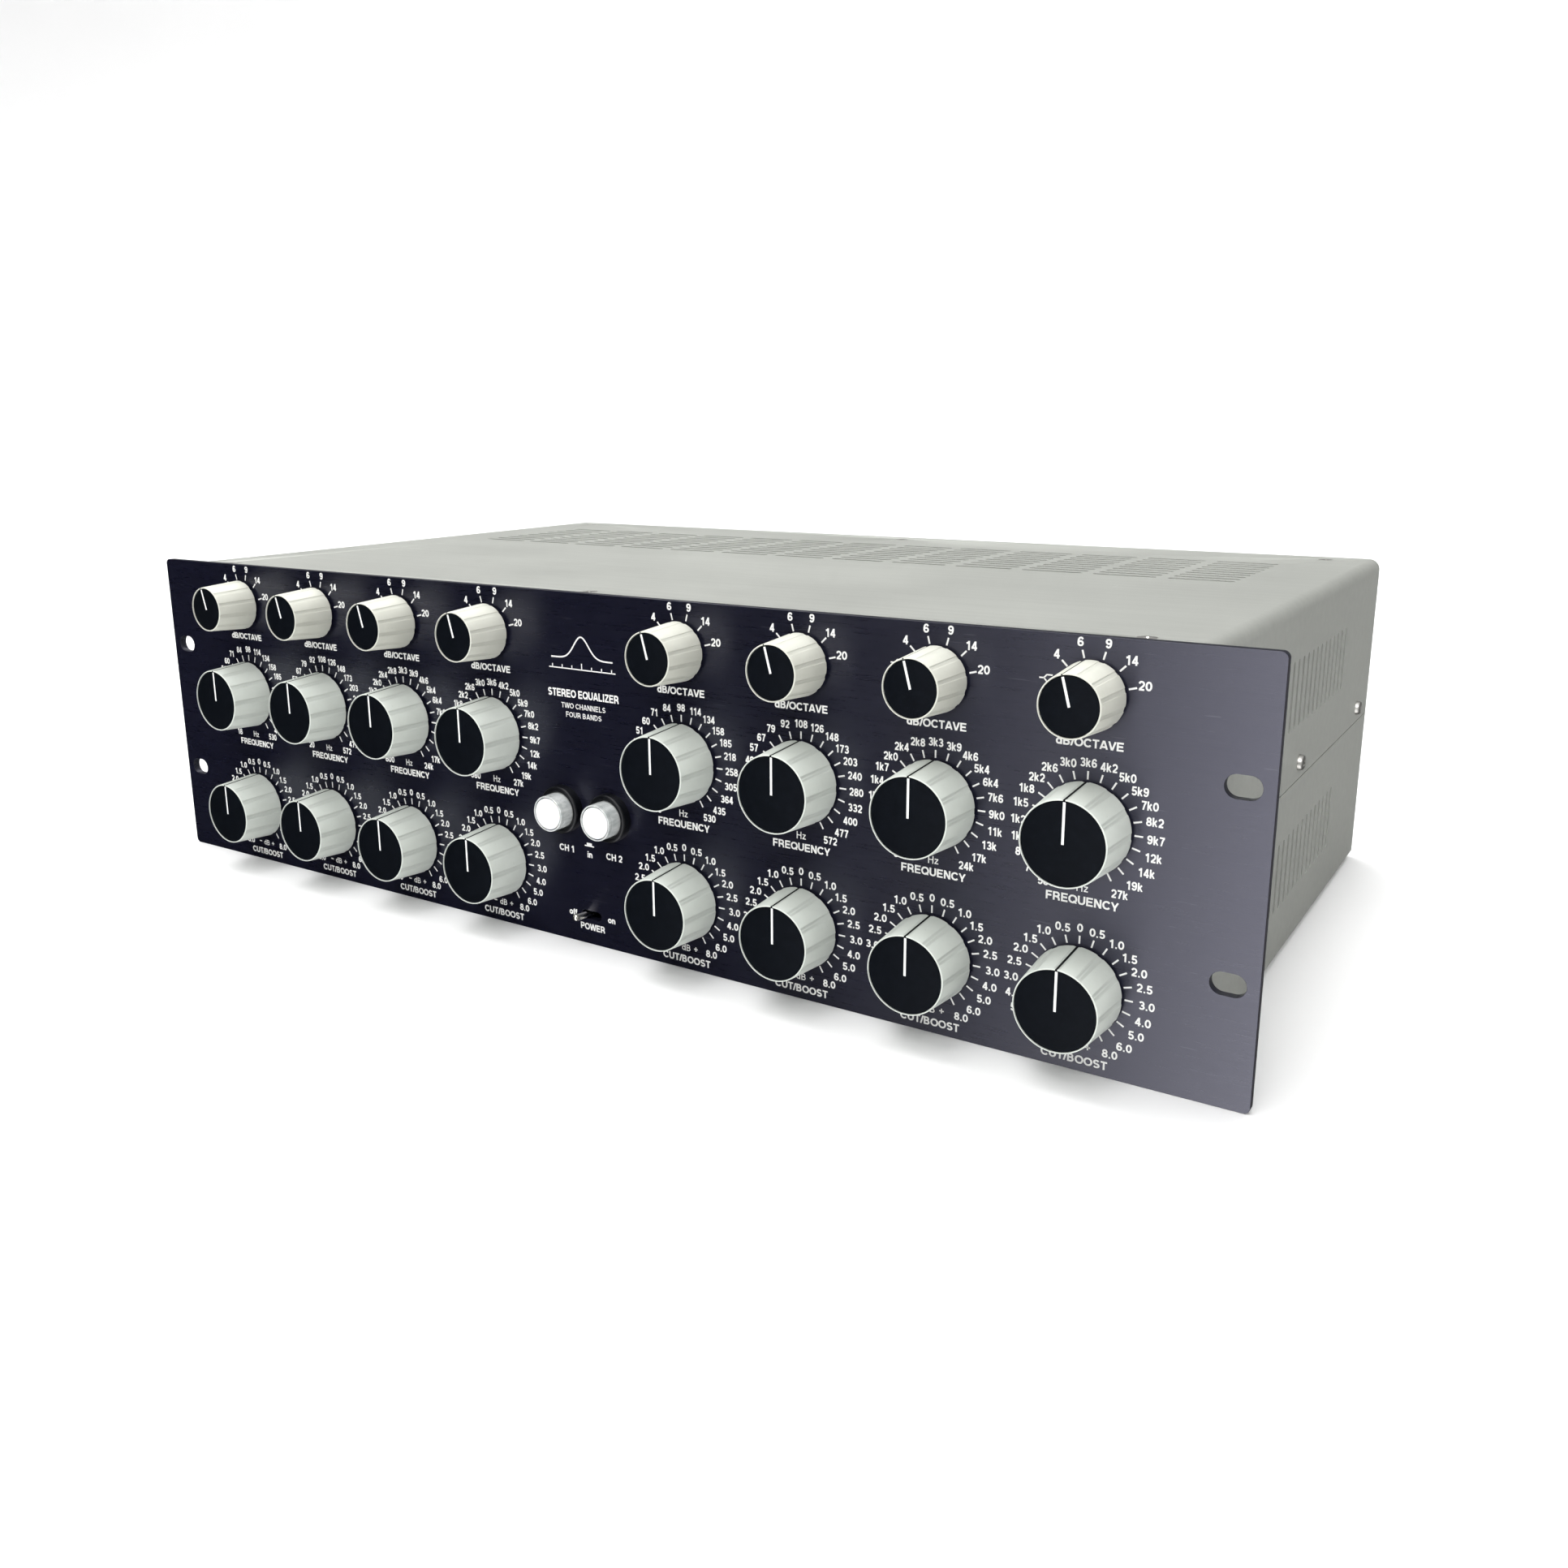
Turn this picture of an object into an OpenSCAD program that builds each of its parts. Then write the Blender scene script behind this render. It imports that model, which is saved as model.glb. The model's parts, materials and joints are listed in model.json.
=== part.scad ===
// Two-channel rotary equalizer for a 19-inch rack, three rack units high.
// Origin: centre of the four rack slots, on the rear (rail) face of the front panel.
// +X to the right seen from the front, +Y to the back, +Z up. Millimetres.

/* [Rack panel] */
// Width of the front panel, the 19-inch rack standard
panel_w = 482.6; // [480:0.1:484]
// Height of the front panel, three rack units less the clearance
panel_h = 132.5; // [131:0.1:133]
// Thickness of the front panel
panel_t = 3; // [2.5:0.1:3.5]
// Corner radius of the front panel
panel_r = 2; // [1:0.1:4]
// Distance between the two columns of rack slots
slot_dx = 465.1; // [464:0.1:466]
// Distance between the two rows of rack slots
slot_dz = 57.15; // [57:0.01:57.3]
// Length of a rack slot, end to end
slot_len = 10.3; // [9:0.1:11]
// Height of a rack slot
slot_h = 7; // [6.5:0.1:7.2]

/* [Chassis] */
// Width of the sheet-metal case
case_w = 443.3; // [440:0.1:445]
// Height of the top of the case above the middle of the panel
case_top = 66; // [65:0.1:66.2]
// Height of the bottom of the case, below the middle of the panel
case_bottom = -63.2; // [-66:0.1:-62]
// Depth of the case behind the panel
case_d = 256.7; // [250:0.1:270]
// Sheet thickness of the case
sheet = 1.5; // [1.2:0.1:2]
// Outside bend radius of the top cover
bend_r = 4.5; // [3:0.5:6]
// Height of the seam between the cover and the tray
seam_z = 0; // [-2:0.5:2]

/* [Vents] */
// Number of groups of slots across the top
top_groups = 13; // [5:2:13]
// Distance between the groups across the top
top_group_pitch = 29.5; // [28:0.1:29.5]
// Length of a top slot
top_slot_len = 25; // [20:0.5:25]
// Number of rows of slots in the top
top_rows = 10; // [4:1:10]
// Distance between the rows in the top
top_row_pitch = 7.6; // [6:0.1:7.6]
// Number of slots in each row of a side
side_slots = 18; // [6:1:18]
// Distance between the slots of a side
side_pitch = 7.4; // [6:0.1:7.4]
// Width of every slot
vent_w = 2.8; // [2:0.1:3.2]

/* [Controls] */
// Distance from the middle of the panel to the innermost column of knobs
column_x0 = 44.45; // [44:0.05:45]
// Distance between the columns of knobs
column_dx = 48.26; // [48:0.01:48.5]
// Height of the row of slope knobs
slope_z = 49.3; // [48:0.1:50]
// Height of the row of frequency knobs
frequency_z = 10.2; // [9:0.1:11]
// Height of the row of gain knobs
gain_z = -40.1; // [-41:0.1:-39]
// Gap between a knob and the panel
knob_gap = 1.2; // [1:0.1:1.6]
// Height of a knob's rim above the panel
knob_top = 18.4; // [17:0.1:20]
// Diameter of a large knob at the panel
large_base = 28.4; // [27:0.1:30]
// Diameter of a large knob at its rim
large_rim = 26; // [25:0.1:27]
// Diameter of a large knob's cap
large_cap = 24.6; // [23:0.1:24.8]
// Diameter of a small knob at the panel
small_base = 20.8; // [20.4:0.1:22]
// Diameter of a small knob at its rim
small_rim = 18.5; // [18.2:0.1:20]
// Diameter of a small knob's cap
small_cap = 17; // [16:0.1:17.2]
// Angle of the slope knobs at rest, clockwise from straight up
slope_rest = -15; // [-15]

/* [Buttons and power switch] */
// Middle of the centre column of controls
centre_x = 0.5; // [0:0.1:1]
// Height of the two push buttons
button_z = -14.6; // [-16:0.1:-13]
// Distance between the two push buttons
button_dx = 22.4; // [21:0.1:24]
// Diameter of a push button's lens
lens_d = 13.4; // [12:0.1:13.6]
// Height of a lens above the panel
lens_top = 9.5; // [8:0.1:10]
// Diameter of a button's bezel
bezel_d = 18; // [17:0.1:20]
// Height of a button's bezel above the panel
bezel_top = 3.6; // [3:0.1:4]
// Height of the power lever
power_z = -54.8; // [-56:0.1:-54]
// Tilt of the power lever from straight out
lever_tilt = 12; // [10:1:12]
// Height of the lever's tip above the panel
lever_top = 6.2; // [5:0.1:7]

/* [Hidden] */
$fn = 48;
side_x = case_w / 2;
front_y = -panel_t;               // front face of the panel
wall_y = sheet;                   // rear face of the tray's front wall
back_y = case_d;                  // outer face of the rear panel
back_in_y = case_d - sheet;       // inner face of the rear panel
floor_z = case_bottom + sheet;    // upper face of the tray's bottom
roof_z = case_top - sheet;        // lower face of the cover's top
fit = 0.05;                       // gap of pieces pressed or glued together
run = 0.08;                       // radial gap of a shaft in its bore
free = 0.3;                       // gap of a piece in its clearance hole

bushing_r = 4.5;                  // rotary switch bushing
shaft_r = 3;
switch_r = 13;
switch_d = 13.5;                  // depth of a rotary switch's can
board_t = 1.6;
control_board_y = 18.6;           // front face of the control boards
button_xs = [centre_x - button_dx / 2, centre_x + button_dx / 2];
barrel_r = bezel_d / 2 - 1;       // part of a bezel that goes through the panel
lens_bore = lens_d / 2 + free;
pivot_y = front_y + 12.2;         // hinge pin of the power lever
lever_r = 1.3;
power_slot = [9.5, 3.4];

screw_xs = [-202, 0, 202];        // countersunk screws along the width
cover_screw_ys = [3.5, 245];
side_screw_ys = [17, 124, 232];
side_screw_z = 6.3;
flange_in = 13;                   // reach of the flanges that take screws
under_screw_y = 249;

board_z = -53.2;                  // underside of the horizontal boards
filter_boards = [[-205, 40, 135, 190], [-60, 40, 135, 190]];   // x, y, width, depth
supply_board = [92, 36, 113, 84];
boards = [filter_boards[0], filter_boards[1], supply_board];
board_inset = 6;                  // standoffs from the corners of a board

core_pos = [150, 176];            // toroidal transformer
core_r = 42;
core_h = 36;
inlet_x = 165;
inlet_z = -30;
inlet_recess = [24.4, 16.6, 17];
jack_xs = [-185, -155, -85, -55]; // channel 1 in and out, channel 2 in and out
jack_z = -25;
jack_bore_r = 3.25;
jack_nose = 4.5;                  // how far a jack's bushing stands out of the rear panel

function column_x(ch, band) = ch == 1 ? -column_x0 - (4 - band) * column_dx
                                      : column_x0 + (band - 1) * column_dx;
columns = [for (ch = [1, 2], band = [1:4]) column_x(ch, band)];

// ---- shared shapes ----

// A box between two corners
module block(low, high) { translate(low) cube(high - low); }

// A flat outline of a slot with round ends, length l along X, height h
module slot2d(l, h) {
    square([l - h, h], center = true);
    for (s = [-1, 1]) translate([s * (l - h) / 2, 0]) circle(d = h);
}

// A flat rectangle with round corners, centred
module plate2d(w, h, r) {
    square([w - 2 * r, h], center = true);
    square([w, h - 2 * r], center = true);
    for (sx = [-1, 1], sz = [-1, 1]) translate([sx * (w / 2 - r), sz * (h / 2 - r)]) circle(r = r);
}

// Stands a flat outline drawn in X and Z up as a wall from y0, t thick
module wall(y0, t) { translate([0, y0 + t, 0]) rotate([90, 0, 0]) linear_extrude(t) children(); }

// Places a shape drawn along +Z, so that Z runs out of the panel's front face at x, z
module on_panel(x, z) { translate([x, front_y, z]) rotate([90, 0, 0]) children(); }

// A countersunk screw along -Z with its face flush at z = 0, as a screw or, with a margin, as its hole
module flush_screw(d, l, margin = 0) {
    translate([0, 0, -d * 0.55]) cylinder(h = d * 0.55 + margin, r1 = d / 2 + margin, r2 = d + margin);
    translate([0, 0, -l]) cylinder(h = l, r = d / 2 + margin);
}

// ---- case ----

// Positions of the rack slots, and the openings of the panel and of the tray's front wall
module rack_slots() {
    for (sx = [-1, 1], sz = [-1, 1])
        translate([sx * slot_dx / 2, sz * slot_dz / 2]) slot2d(slot_len, slot_h);
}

module control_openings(lever_slot) {
    for (x = columns, z = [slope_z, frequency_z, gain_z]) translate([x, z]) circle(r = bushing_r + free);
    for (x = button_xs) translate([x, button_z]) circle(r = barrel_r + free);
    translate([centre_x, power_z]) slot2d(lever_slot.x, lever_slot.y);
}

module front_panel() {
    color([0.13, 0.13, 0.2]) wall(front_y, panel_t) difference() {
        plate2d(panel_w, panel_h, panel_r);
        rack_slots();
        control_openings(power_slot);
    }
}

// Cross-section of one side of the tray: floor edge, wall, and the inset tongue behind the seam
module tray_side2d() {
    tongue_x = side_x - sheet - fit;
    polygon([
        [side_x - 20, case_bottom], [side_x, case_bottom], [side_x, seam_z - 0.4],
        [tongue_x, seam_z - 0.4], [tongue_x, side_screw_z + 6],
        [tongue_x - sheet, side_screw_z + 6], [tongue_x - sheet, seam_z - 4],
        [side_x - sheet, seam_z - 6], [side_x - sheet, floor_z], [side_x - 20, floor_z]
    ]);
}

module side_vents(z0, z1) {
    for (s = [-1, 1], i = [0:side_slots - 1])
        translate([s * side_x - 4, 195 - 3 - i * side_pitch, (z0 + z1) / 2])
            rotate([0, 90, 0]) linear_extrude(8) slot2d(z1 - z0, vent_w);
}

module bottom_tray() {
    color([0.55, 0.56, 0.54]) difference() {
        union() {
            block([-side_x + 20 - fit, 0, case_bottom], [side_x - 20 + fit, back_in_y, floor_z]);
            for (s = [0, 1]) mirror([s, 0, 0]) wall(0, back_in_y) tray_side2d();
            wall(0, sheet) difference() {
                case2d(floor_z - fit, sheet + fit);
                control_openings([13, 6]);
            }
            block([-side_x + 12, sheet - fit, roof_z - fit - sheet],
                  [side_x - 12, flange_in, roof_z - fit]);
        }
        side_vents(-44.2, -18.8);
        for (x = screw_xs) {
            translate([x, cover_screw_ys[0], roof_z + 1]) cylinder(h = 12, r = 1.6, center = true);
            translate([x, under_screw_y, case_bottom]) mirror([0, 0, 1]) flush_screw(3, 8, 0.1);
        }
        for (s = [-1, 1], y = side_screw_ys) translate([s * side_x, y, side_screw_z])
            rotate([0, 90, 0]) cylinder(h = 16, r = 1.6, center = true);
    }
}

// Outline of the case above z0, with bent upper edges, taken in by t
module case2d(z0, t) {
    x = side_x - bend_r;
    translate([-side_x + t, z0]) square([case_w - 2 * t, case_top - bend_r - z0]);
    translate([-x, z0]) square([2 * x, case_top - t - z0]);
    for (s = [-1, 1]) translate([s * x, case_top - bend_r]) circle(r = bend_r - t);
}

// Cross-section of the cover: a channel open downwards
module cover2d() {
    difference() {
        case2d(seam_z, 0);
        case2d(seam_z - 1, sheet);
    }
}

module top_vents() {
    for (i = [0:top_groups - 1], j = [0:top_rows - 1])
        translate([(i - (top_groups - 1) / 2) * top_group_pitch, 146.5 + j * top_row_pitch])
            slot2d(top_slot_len, vent_w);
}

module top_cover() {
    color([0.78, 0.78, 0.74]) difference() {
        wall(0.2, back_in_y - 0.4) cover2d();
        translate([0, 0, roof_z - 1]) linear_extrude(sheet + 2) top_vents();
        side_vents(20.8, 45.5);
        for (x = screw_xs, y = cover_screw_ys) translate([x, y, case_top]) flush_screw(3, 8, 0.1);
        for (s = [-1, 1], y = side_screw_ys) translate([s * side_x, y, side_screw_z])
            rotate([0, 90, 0]) cylinder(h = 8, r = 1.6, center = true);
    }
}

module rear_panel() {
    color([0.62, 0.63, 0.6]) difference() {
        union() {
            wall(back_in_y, sheet) difference() {
                case2d(case_bottom, 0);
                for (x = jack_xs) translate([x, jack_z]) circle(r = 6 + free);
                translate([inlet_x, inlet_z]) {
                    square([28, 20.6], center = true);
                    for (s = [-1, 1]) translate([s * 20, 0]) circle(r = 1.7);
                }
            }
            block([-side_x + 12, back_in_y - flange_in, roof_z - fit - sheet],
                  [side_x - 12, back_in_y + fit, roof_z - fit]);
            block([-side_x + 12, back_in_y - flange_in, floor_z + fit],
                  [side_x - 12, back_in_y + fit, floor_z + fit + sheet]);
        }
        for (x = screw_xs) {
            translate([x, cover_screw_ys[1], roof_z]) cylinder(h = 12, r = 1.6, center = true);
            translate([x, under_screw_y, floor_z]) cylinder(h = 12, r = 1.6, center = true);
        }
    }
}

module top_cover_screws() {
    color("silver") for (x = screw_xs, y = cover_screw_ys) translate([x, y, case_top]) flush_screw(3, 7);
}

module rear_panel_screws() {
    color("silver") for (x = screw_xs)
        translate([x, under_screw_y, case_bottom]) mirror([0, 0, 1]) flush_screw(3, 7);
}

// Pan-head screws that hold the cover's sides to the tray's tongues
module side_screws() {
    color("silver") for (s = [0, 1], y = side_screw_ys)
        mirror([s, 0, 0]) translate([side_x, y, side_screw_z]) rotate([0, 90, 0]) {
            cylinder(h = 1.9, r1 = 2.9, r2 = 2.3);
            translate([0, 0, -7]) cylinder(h = 7.1, r = 1.5);
        }
}

// ---- rotary controls ----

// Six-sided nut with its toothed washer, on every switch bushing
module bushing_nuts() {
    color("silver") for (x = columns, z = [slope_z, frequency_z, gain_z]) on_panel(x, z)
        difference() {
            union() {
                cylinder(h = 0.6, r = 6.6);
                translate([0, 0, 0.5]) cylinder(h = 2.1, r = 6.9, $fn = 6);
            }
            translate([0, 0, -1]) cylinder(h = 5, r = bushing_r + run);
        }
}

// A rotary switch: bushing, can and wafer with its terminals. The can's front rests on the tray.
module rotary_switch() {
    can_front = -panel_t - sheet;
    can_back = can_front - switch_d;
    wafer_t = 1.4;
    rotate_extrude() polygon([
        [shaft_r + run, 3.6], [bushing_r, 3.6], [bushing_r, can_front],
        [switch_r, can_front], [switch_r, can_back], [switch_r - 1.5, can_back],
        [switch_r - 1.5, can_front - 2], [shaft_r + run, can_front - 2]
    ]);
    translate([0, 0, can_back - fit - wafer_t]) cylinder(h = wafer_t, r = switch_r - 0.1);
    for (a = [0:45:315]) rotate(a)
        translate([10, 0, front_y - control_board_y])
            cylinder(h = control_board_y - front_y + can_back - fit - wafer_t / 2, r = 0.5, $fn = 16);
}

module channel_switches(ch) {
    color([0.2, 0.22, 0.3]) for (band = [1:4], z = [slope_z, frequency_z, gain_z])
        on_panel(column_x(ch, band), z) rotary_switch();
}
module ch1_rotary_switches() { channel_switches(1); }
module ch2_rotary_switches() { channel_switches(2); }

// A knob on its shaft: fluted shell, pressed cap, pointer line, brass collet, and shaft with rotor.
// Angle is the pointer's, clockwise from straight up.
module knob(x, z, base, rim, cap, angle) {
    skirt_r = base / 2 - 2.2;
    collet_r = 4.55;
    seat = knob_top - 1.5;         // floor of the cap's recess
    face = knob_top - 0.3;
    color([0.68, 0.7, 0.68]) on_panel(x, z) rotate(-angle) {
        rotate_extrude() polygon([
            [skirt_r, knob_gap], [base / 2, knob_gap], [rim / 2, knob_top - 0.4],
            [cap / 2 + 0.35, knob_top], [cap / 2 + fit, knob_top], [cap / 2 + fit, seat],
            [5.8, seat], [5.8, seat - 2.4], [collet_r + fit, seat - 2.4],
            [collet_r + fit, 5], [skirt_r, 5]
        ]);
        difference() {
            translate([0, 0, seat + fit]) cylinder(h = face - seat - fit, d = cap);
            translate([-0.5, 0, face - 0.4]) cube([1, cap, 1]);
        }
        translate([-0.45, 0.05, face - 0.35]) cube([0.9, cap / 2 - 0.2, 0.35]);
        rotate_extrude() polygon([
            [shaft_r + fit, 5], [collet_r, 5], [collet_r, seat - 2.3], [5.4, seat - 2.3],
            [5.4, seat - 0.3], [0, seat - 0.3], [0, seat - 2.4], [shaft_r + fit, seat - 2.4]
        ]);
        translate([0, 0, -17]) cylinder(h = 17 + seat - 2.6, r = shaft_r);
        translate([0, 0, -14]) cylinder(h = 2, r = 9);
    }
}

module slope_knob(ch, band) {
    knob(column_x(ch, band), slope_z, small_base, small_rim, small_cap, slope_rest);
}
module frequency_knob(ch, band) {
    knob(column_x(ch, band), frequency_z, large_base, large_rim, large_cap, 0);
}
module gain_knob(ch, band) {
    knob(column_x(ch, band), gain_z, large_base, large_rim, large_cap, 0);
}

// ---- buttons and power switch ----

module button_bezels() {
    color([0.08, 0.08, 0.09]) for (x = button_xs) on_panel(x, button_z) rotate_extrude() polygon([
        [lens_bore, -12], [barrel_r, -12], [barrel_r, 0], [bezel_d / 2, 0],
        [bezel_d / 2, bezel_top - 0.8], [bezel_d / 2 - 0.8, bezel_top], [lens_bore, bezel_top]
    ]);
}

// The illuminated button: hollow lens, plunger with its stem, and the lamp on it
module in_button(x) {
    r = lens_d / 2;
    color("white") on_panel(x, button_z) {
        rotate_extrude() polygon([
            [r - 1.1, 1], [r, 1], [r, lens_top - 0.5], [r - 0.5, lens_top], [0, lens_top],
            [0, lens_top - 1.4], [r - 1.1, lens_top - 1.4]
        ]);
        cylinder(h = 5, r = r - 1.1 - fit);
        translate([0, 0, -15]) cylinder(h = 15.1, r = 3.2);
        translate([0, 0, 4.9]) cylinder(h = 2.4, r = 2.4);
    }
}
module ch1_in_button() { in_button(button_xs[0]); }
module ch2_in_button() { in_button(button_xs[1]); }

module button_switches() {
    color([0.1, 0.1, 0.1]) for (x = button_xs) on_panel(x, button_z) difference() {
        translate([-9, -9, -30]) cube([18, 18, 18 - fit]);
        translate([0, 0, -22]) cylinder(h = 12, r = 3.2 + run);
    }
}

module power_switch() {
    w = 20;
    h = 12.6;
    color([0.15, 0.15, 0.16]) difference() {
        union() {
            translate([centre_x - w / 2, wall_y, power_z - h / 2]) cube([w, 28, h]);
            translate([centre_x - 17, wall_y, power_z - 6.5]) cube([34, 1.2, 13]);
        }
        translate([centre_x - 6.5, wall_y - 1, power_z - 3.2]) cube([13, 17, 6.4]);
        translate([centre_x, pivot_y, power_z - 5 - free]) cylinder(h = 10 + 2 * free, r = 0.7, $fn = 24);
    }
}

// Steel lever with its hinge pin, tilted to the left, which is off
module power_lever() {
    reach = pivot_y - front_y + lever_top - lever_r;
    color("silver") translate([centre_x, pivot_y, power_z]) {
        rotate([0, 0, -lever_tilt]) rotate([90, 0, 0]) {
            sphere(r = 2.6);
            cylinder(h = reach, r1 = 0.9, r2 = lever_r);
            translate([0, 0, reach]) sphere(r = lever_r);
            translate([0, 0, -6]) cylinder(h = 6, r = 0.9);
        }
        translate([0, 0, -5]) cylinder(h = 10, r = 0.65, $fn = 24);
    }
}

// ---- circuit boards ----

module control_board(ch) {
    x0 = ch == 1 ? -214 : 24;
    color([0.1, 0.35, 0.15]) block([x0, control_board_y, -58], [x0 + 190, control_board_y + board_t, 60]);
}
module ch1_control_board() { control_board(1); }
module ch2_control_board() { control_board(2); }

// A horizontal board with its chips, and its standoff holes
module filter_board(b) {
    color([0.1, 0.35, 0.15]) difference() {
        union() {
            translate([b.x, b.y, board_z]) cube([b[2], b[3], board_t]);
            for (i = [0:5], j = [0:4])
                translate([b.x + 16 + i * 19, b.y + 52 + j * 28, board_z + board_t - fit]) cube([7, 19, 3.4]);
        }
        board_corners(b) translate([0, 0, board_z - 1]) cylinder(h = 4, r = 1.7);
    }
}
module ch1_filter_board() { filter_board(filter_boards[0]); }
module ch2_filter_board() { filter_board(filter_boards[1]); }

module board_corners(b) {
    for (i = [0, 1], j = [0, 1])
        translate([b.x + board_inset + i * (b[2] - 2 * board_inset),
                   b.y + board_inset + j * (b[3] - 2 * board_inset), 0]) children();
}

module board_standoffs() {
    color("silver") for (b = boards) board_corners(b) difference() {
        translate([0, 0, floor_z]) cylinder(h = board_z - floor_z, r = 3.2, $fn = 6);
        translate([0, 0, board_z - 6]) cylinder(h = 7, r = 1.6);
    }
}

module board_screws() {
    color("silver") for (b = boards) board_corners(b) {
        translate([0, 0, board_z + board_t]) cylinder(h = 2, r = 2.7);
        translate([0, 0, board_z - 4]) cylinder(h = 6, r = 1.5);
    }
}

module bypass_relays() {
    color([0.9, 0.85, 0.6]) for (b = filter_boards, i = [0:1])
        translate([b.x + 30 + i * 40, b.y + 6, board_z + board_t]) cube([20, 10, 11]);
}

// Flat cables from the control boards to the filter boards, each with a plug at both ends
module ribbon_cables() {
    y0 = control_board_y + board_t;
    top = board_z + board_t;
    color([0.6, 0.6, 0.62]) for (x = [-150, 40]) translate([x, 0, 0]) {
        block([0, y0, -42], [32, y0 + 6, -34]);
        block([0, 58, top], [32, 66, top + 7]);
        rotate([90, 0, 90]) linear_extrude(32) polygon([
            [y0 + 5, -38.6], [y0 + 26, -38.6], [64, top + 14], [64, top + 6],
            [62.8, top + 6], [62.8, top + 13.5], [y0 + 25.6, -39.8], [y0 + 5, -39.8]
        ]);
    }
}

// ---- power supply ----

module power_supply_board() {
    b = supply_board;
    color([0.1, 0.35, 0.15]) difference() {
        translate([b.x, b.y, board_z]) cube([b[2], b[3], board_t]);
        board_corners(b) translate([0, 0, board_z - 1]) cylinder(h = 4, r = 1.7);
    }
}

module smoothing_capacitors() {
    color([0.1, 0.12, 0.3]) for (i = [0, 1], j = [0, 1])
        translate([supply_board.x + 28 + i * 30, supply_board.y + 24 + j * 32, board_z + board_t])
            cylinder(h = 32, r = 12.5);
}

// Finned heatsink with two regulators screwed to it
module voltage_regulators() {
    x0 = supply_board.x + 80;
    y0 = supply_board.y + 16;
    z0 = board_z + board_t;
    color([0.25, 0.25, 0.27]) {
        translate([x0, y0, z0]) cube([3, 56, 30]);
        for (i = [0:7]) translate([x0 + 2.9, y0 + i * 7.5, z0]) cube([16, 1.6, 30]);
        for (i = [0, 1]) translate([x0 - 4.5, y0 + 12 + i * 24, z0 + 8]) cube([4.5 - fit, 10, 16]);
    }
}

module mains_fuse() {
    p = [supply_board.x + 48, supply_board.y + 3, board_z + board_t];
    color("silver") translate(p) {
        for (x = [0, 24]) translate([x, 0, 0]) cube([5, 7, 5]);
        translate([1, 3.5, 5.5]) rotate([0, 90, 0]) cylinder(h = 27, r = 2.5);
    }
}

// Toroidal transformer: a wound ring with rounded corners
module transformer() {
    r0 = 13;
    c = 5;
    color([0.75, 0.6, 0.2]) translate([core_pos.x, core_pos.y, floor_z]) rotate_extrude() polygon([
        [r0, c], [r0 + c, 0], [core_r - c, 0], [core_r, c],
        [core_r, core_h - c], [core_r - c, core_h], [r0 + c, core_h], [r0, core_h - c]
    ]);
}

module transformer_clamp() {
    color("silver") translate([core_pos.x, core_pos.y, floor_z]) {
        translate([0, 0, core_h]) cylinder(h = 2, r = 30);
        cylinder(h = core_h + 10, r = 3);
        translate([0, 0, core_h + 1.9]) cylinder(h = 5, r = 5.8, $fn = 6);
    }
}

// Appliance inlet: flange, body with its recess, and three blades
module mains_inlet() {
    depth = 24;
    color([0.08, 0.08, 0.08]) translate([inlet_x, 0, inlet_z]) {
        difference() {
            union() {
                wall(back_y, 2.6) plate2d(50, 24, 3);
                translate([-13.8, back_y - depth, -10.1]) cube([27.6, depth + 1, 20.2]);
            }
            translate([-inlet_recess.x / 2, back_y + 2.6 - inlet_recess.z, -inlet_recess.y / 2])
                cube([inlet_recess.x, inlet_recess.z + 1, inlet_recess.y]);
            for (s = [-1, 1]) translate([s * 20, back_y + 1, 0]) rotate([90, 0, 0])
                cylinder(h = 6, r = 1.7, center = true);
        }
        for (p = [[-7, -2], [7, -2], [0, 3]]) {
            translate([p.x - 1, back_y + 2.5 - inlet_recess.z, p.y - 2]) cube([2, inlet_recess.z - 2.5, 4]);
            translate([p.x - 0.4, back_y - depth - 8, p.y - 3]) cube([0.8, 8.1, 6]);
        }
    }
}

module inlet_screws() {
    color("silver") for (s = [-1, 1])
        translate([inlet_x + s * 20, back_y + 2.6, inlet_z]) rotate([-90, 0, 0]) {
            cylinder(h = 1.8, r1 = 2.9, r2 = 2.3);
            translate([0, 0, -9]) cylinder(h = 9.1, r = 1.5);
        }
}

// A run of wire through points
module wire(points, d) {
    for (i = [0:len(points) - 2]) hull() {
        translate(points[i]) sphere(d = d, $fn = 10);
        translate(points[i + 1]) sphere(d = d, $fn = 10);
    }
}

// Mains leads from the inlet to the power switch, and from there to the transformer
module mains_wiring() {
    lead_d = 2.4;
    y_in = back_y - 24 - 8;
    color([0.3, 0.2, 0.15]) for (s = [-1, 1]) {
        wire([[inlet_x + s * 7, y_in - 1.4, inlet_z - 2], [inlet_x + s * 7, 221, inlet_z - 2],
              [84 + s * 2, 221, -40], [84 + s * 2, 90, -33],
              [30 + s * 4, 37, -33], [8, 31, power_z + s * 3]], lead_d);
        wire([[-6, 31, power_z + s * 3], [-6, 34 + s, -26 + s * 2], [88, 34 + s * 2, -26 + s * 2],
              [88, 130 + s * 2, -32 + s * 2], [core_pos.x - core_r - 2, core_pos.y - 6 * s, -32]], lead_d);
    }
}

// ---- line connectors ----

// Quarter-inch jack socket: body inside, bushing through the rear panel
module line_jacks() {
    depth = 28;
    color([0.12, 0.12, 0.13]) for (x = jack_xs) translate([x, 0, jack_z]) difference() {
        union() {
            translate([-8, back_in_y - depth, -8]) cube([16, depth, 16]);
            translate([0, back_in_y - 1, 0]) rotate([-90, 0, 0]) cylinder(h = 1 + sheet + jack_nose, r = 6);
        }
        translate([0, back_y + jack_nose + 1, 0]) rotate([90, 0, 0]) cylinder(h = depth + 1, r = jack_bore_r);
    }
}

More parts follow.
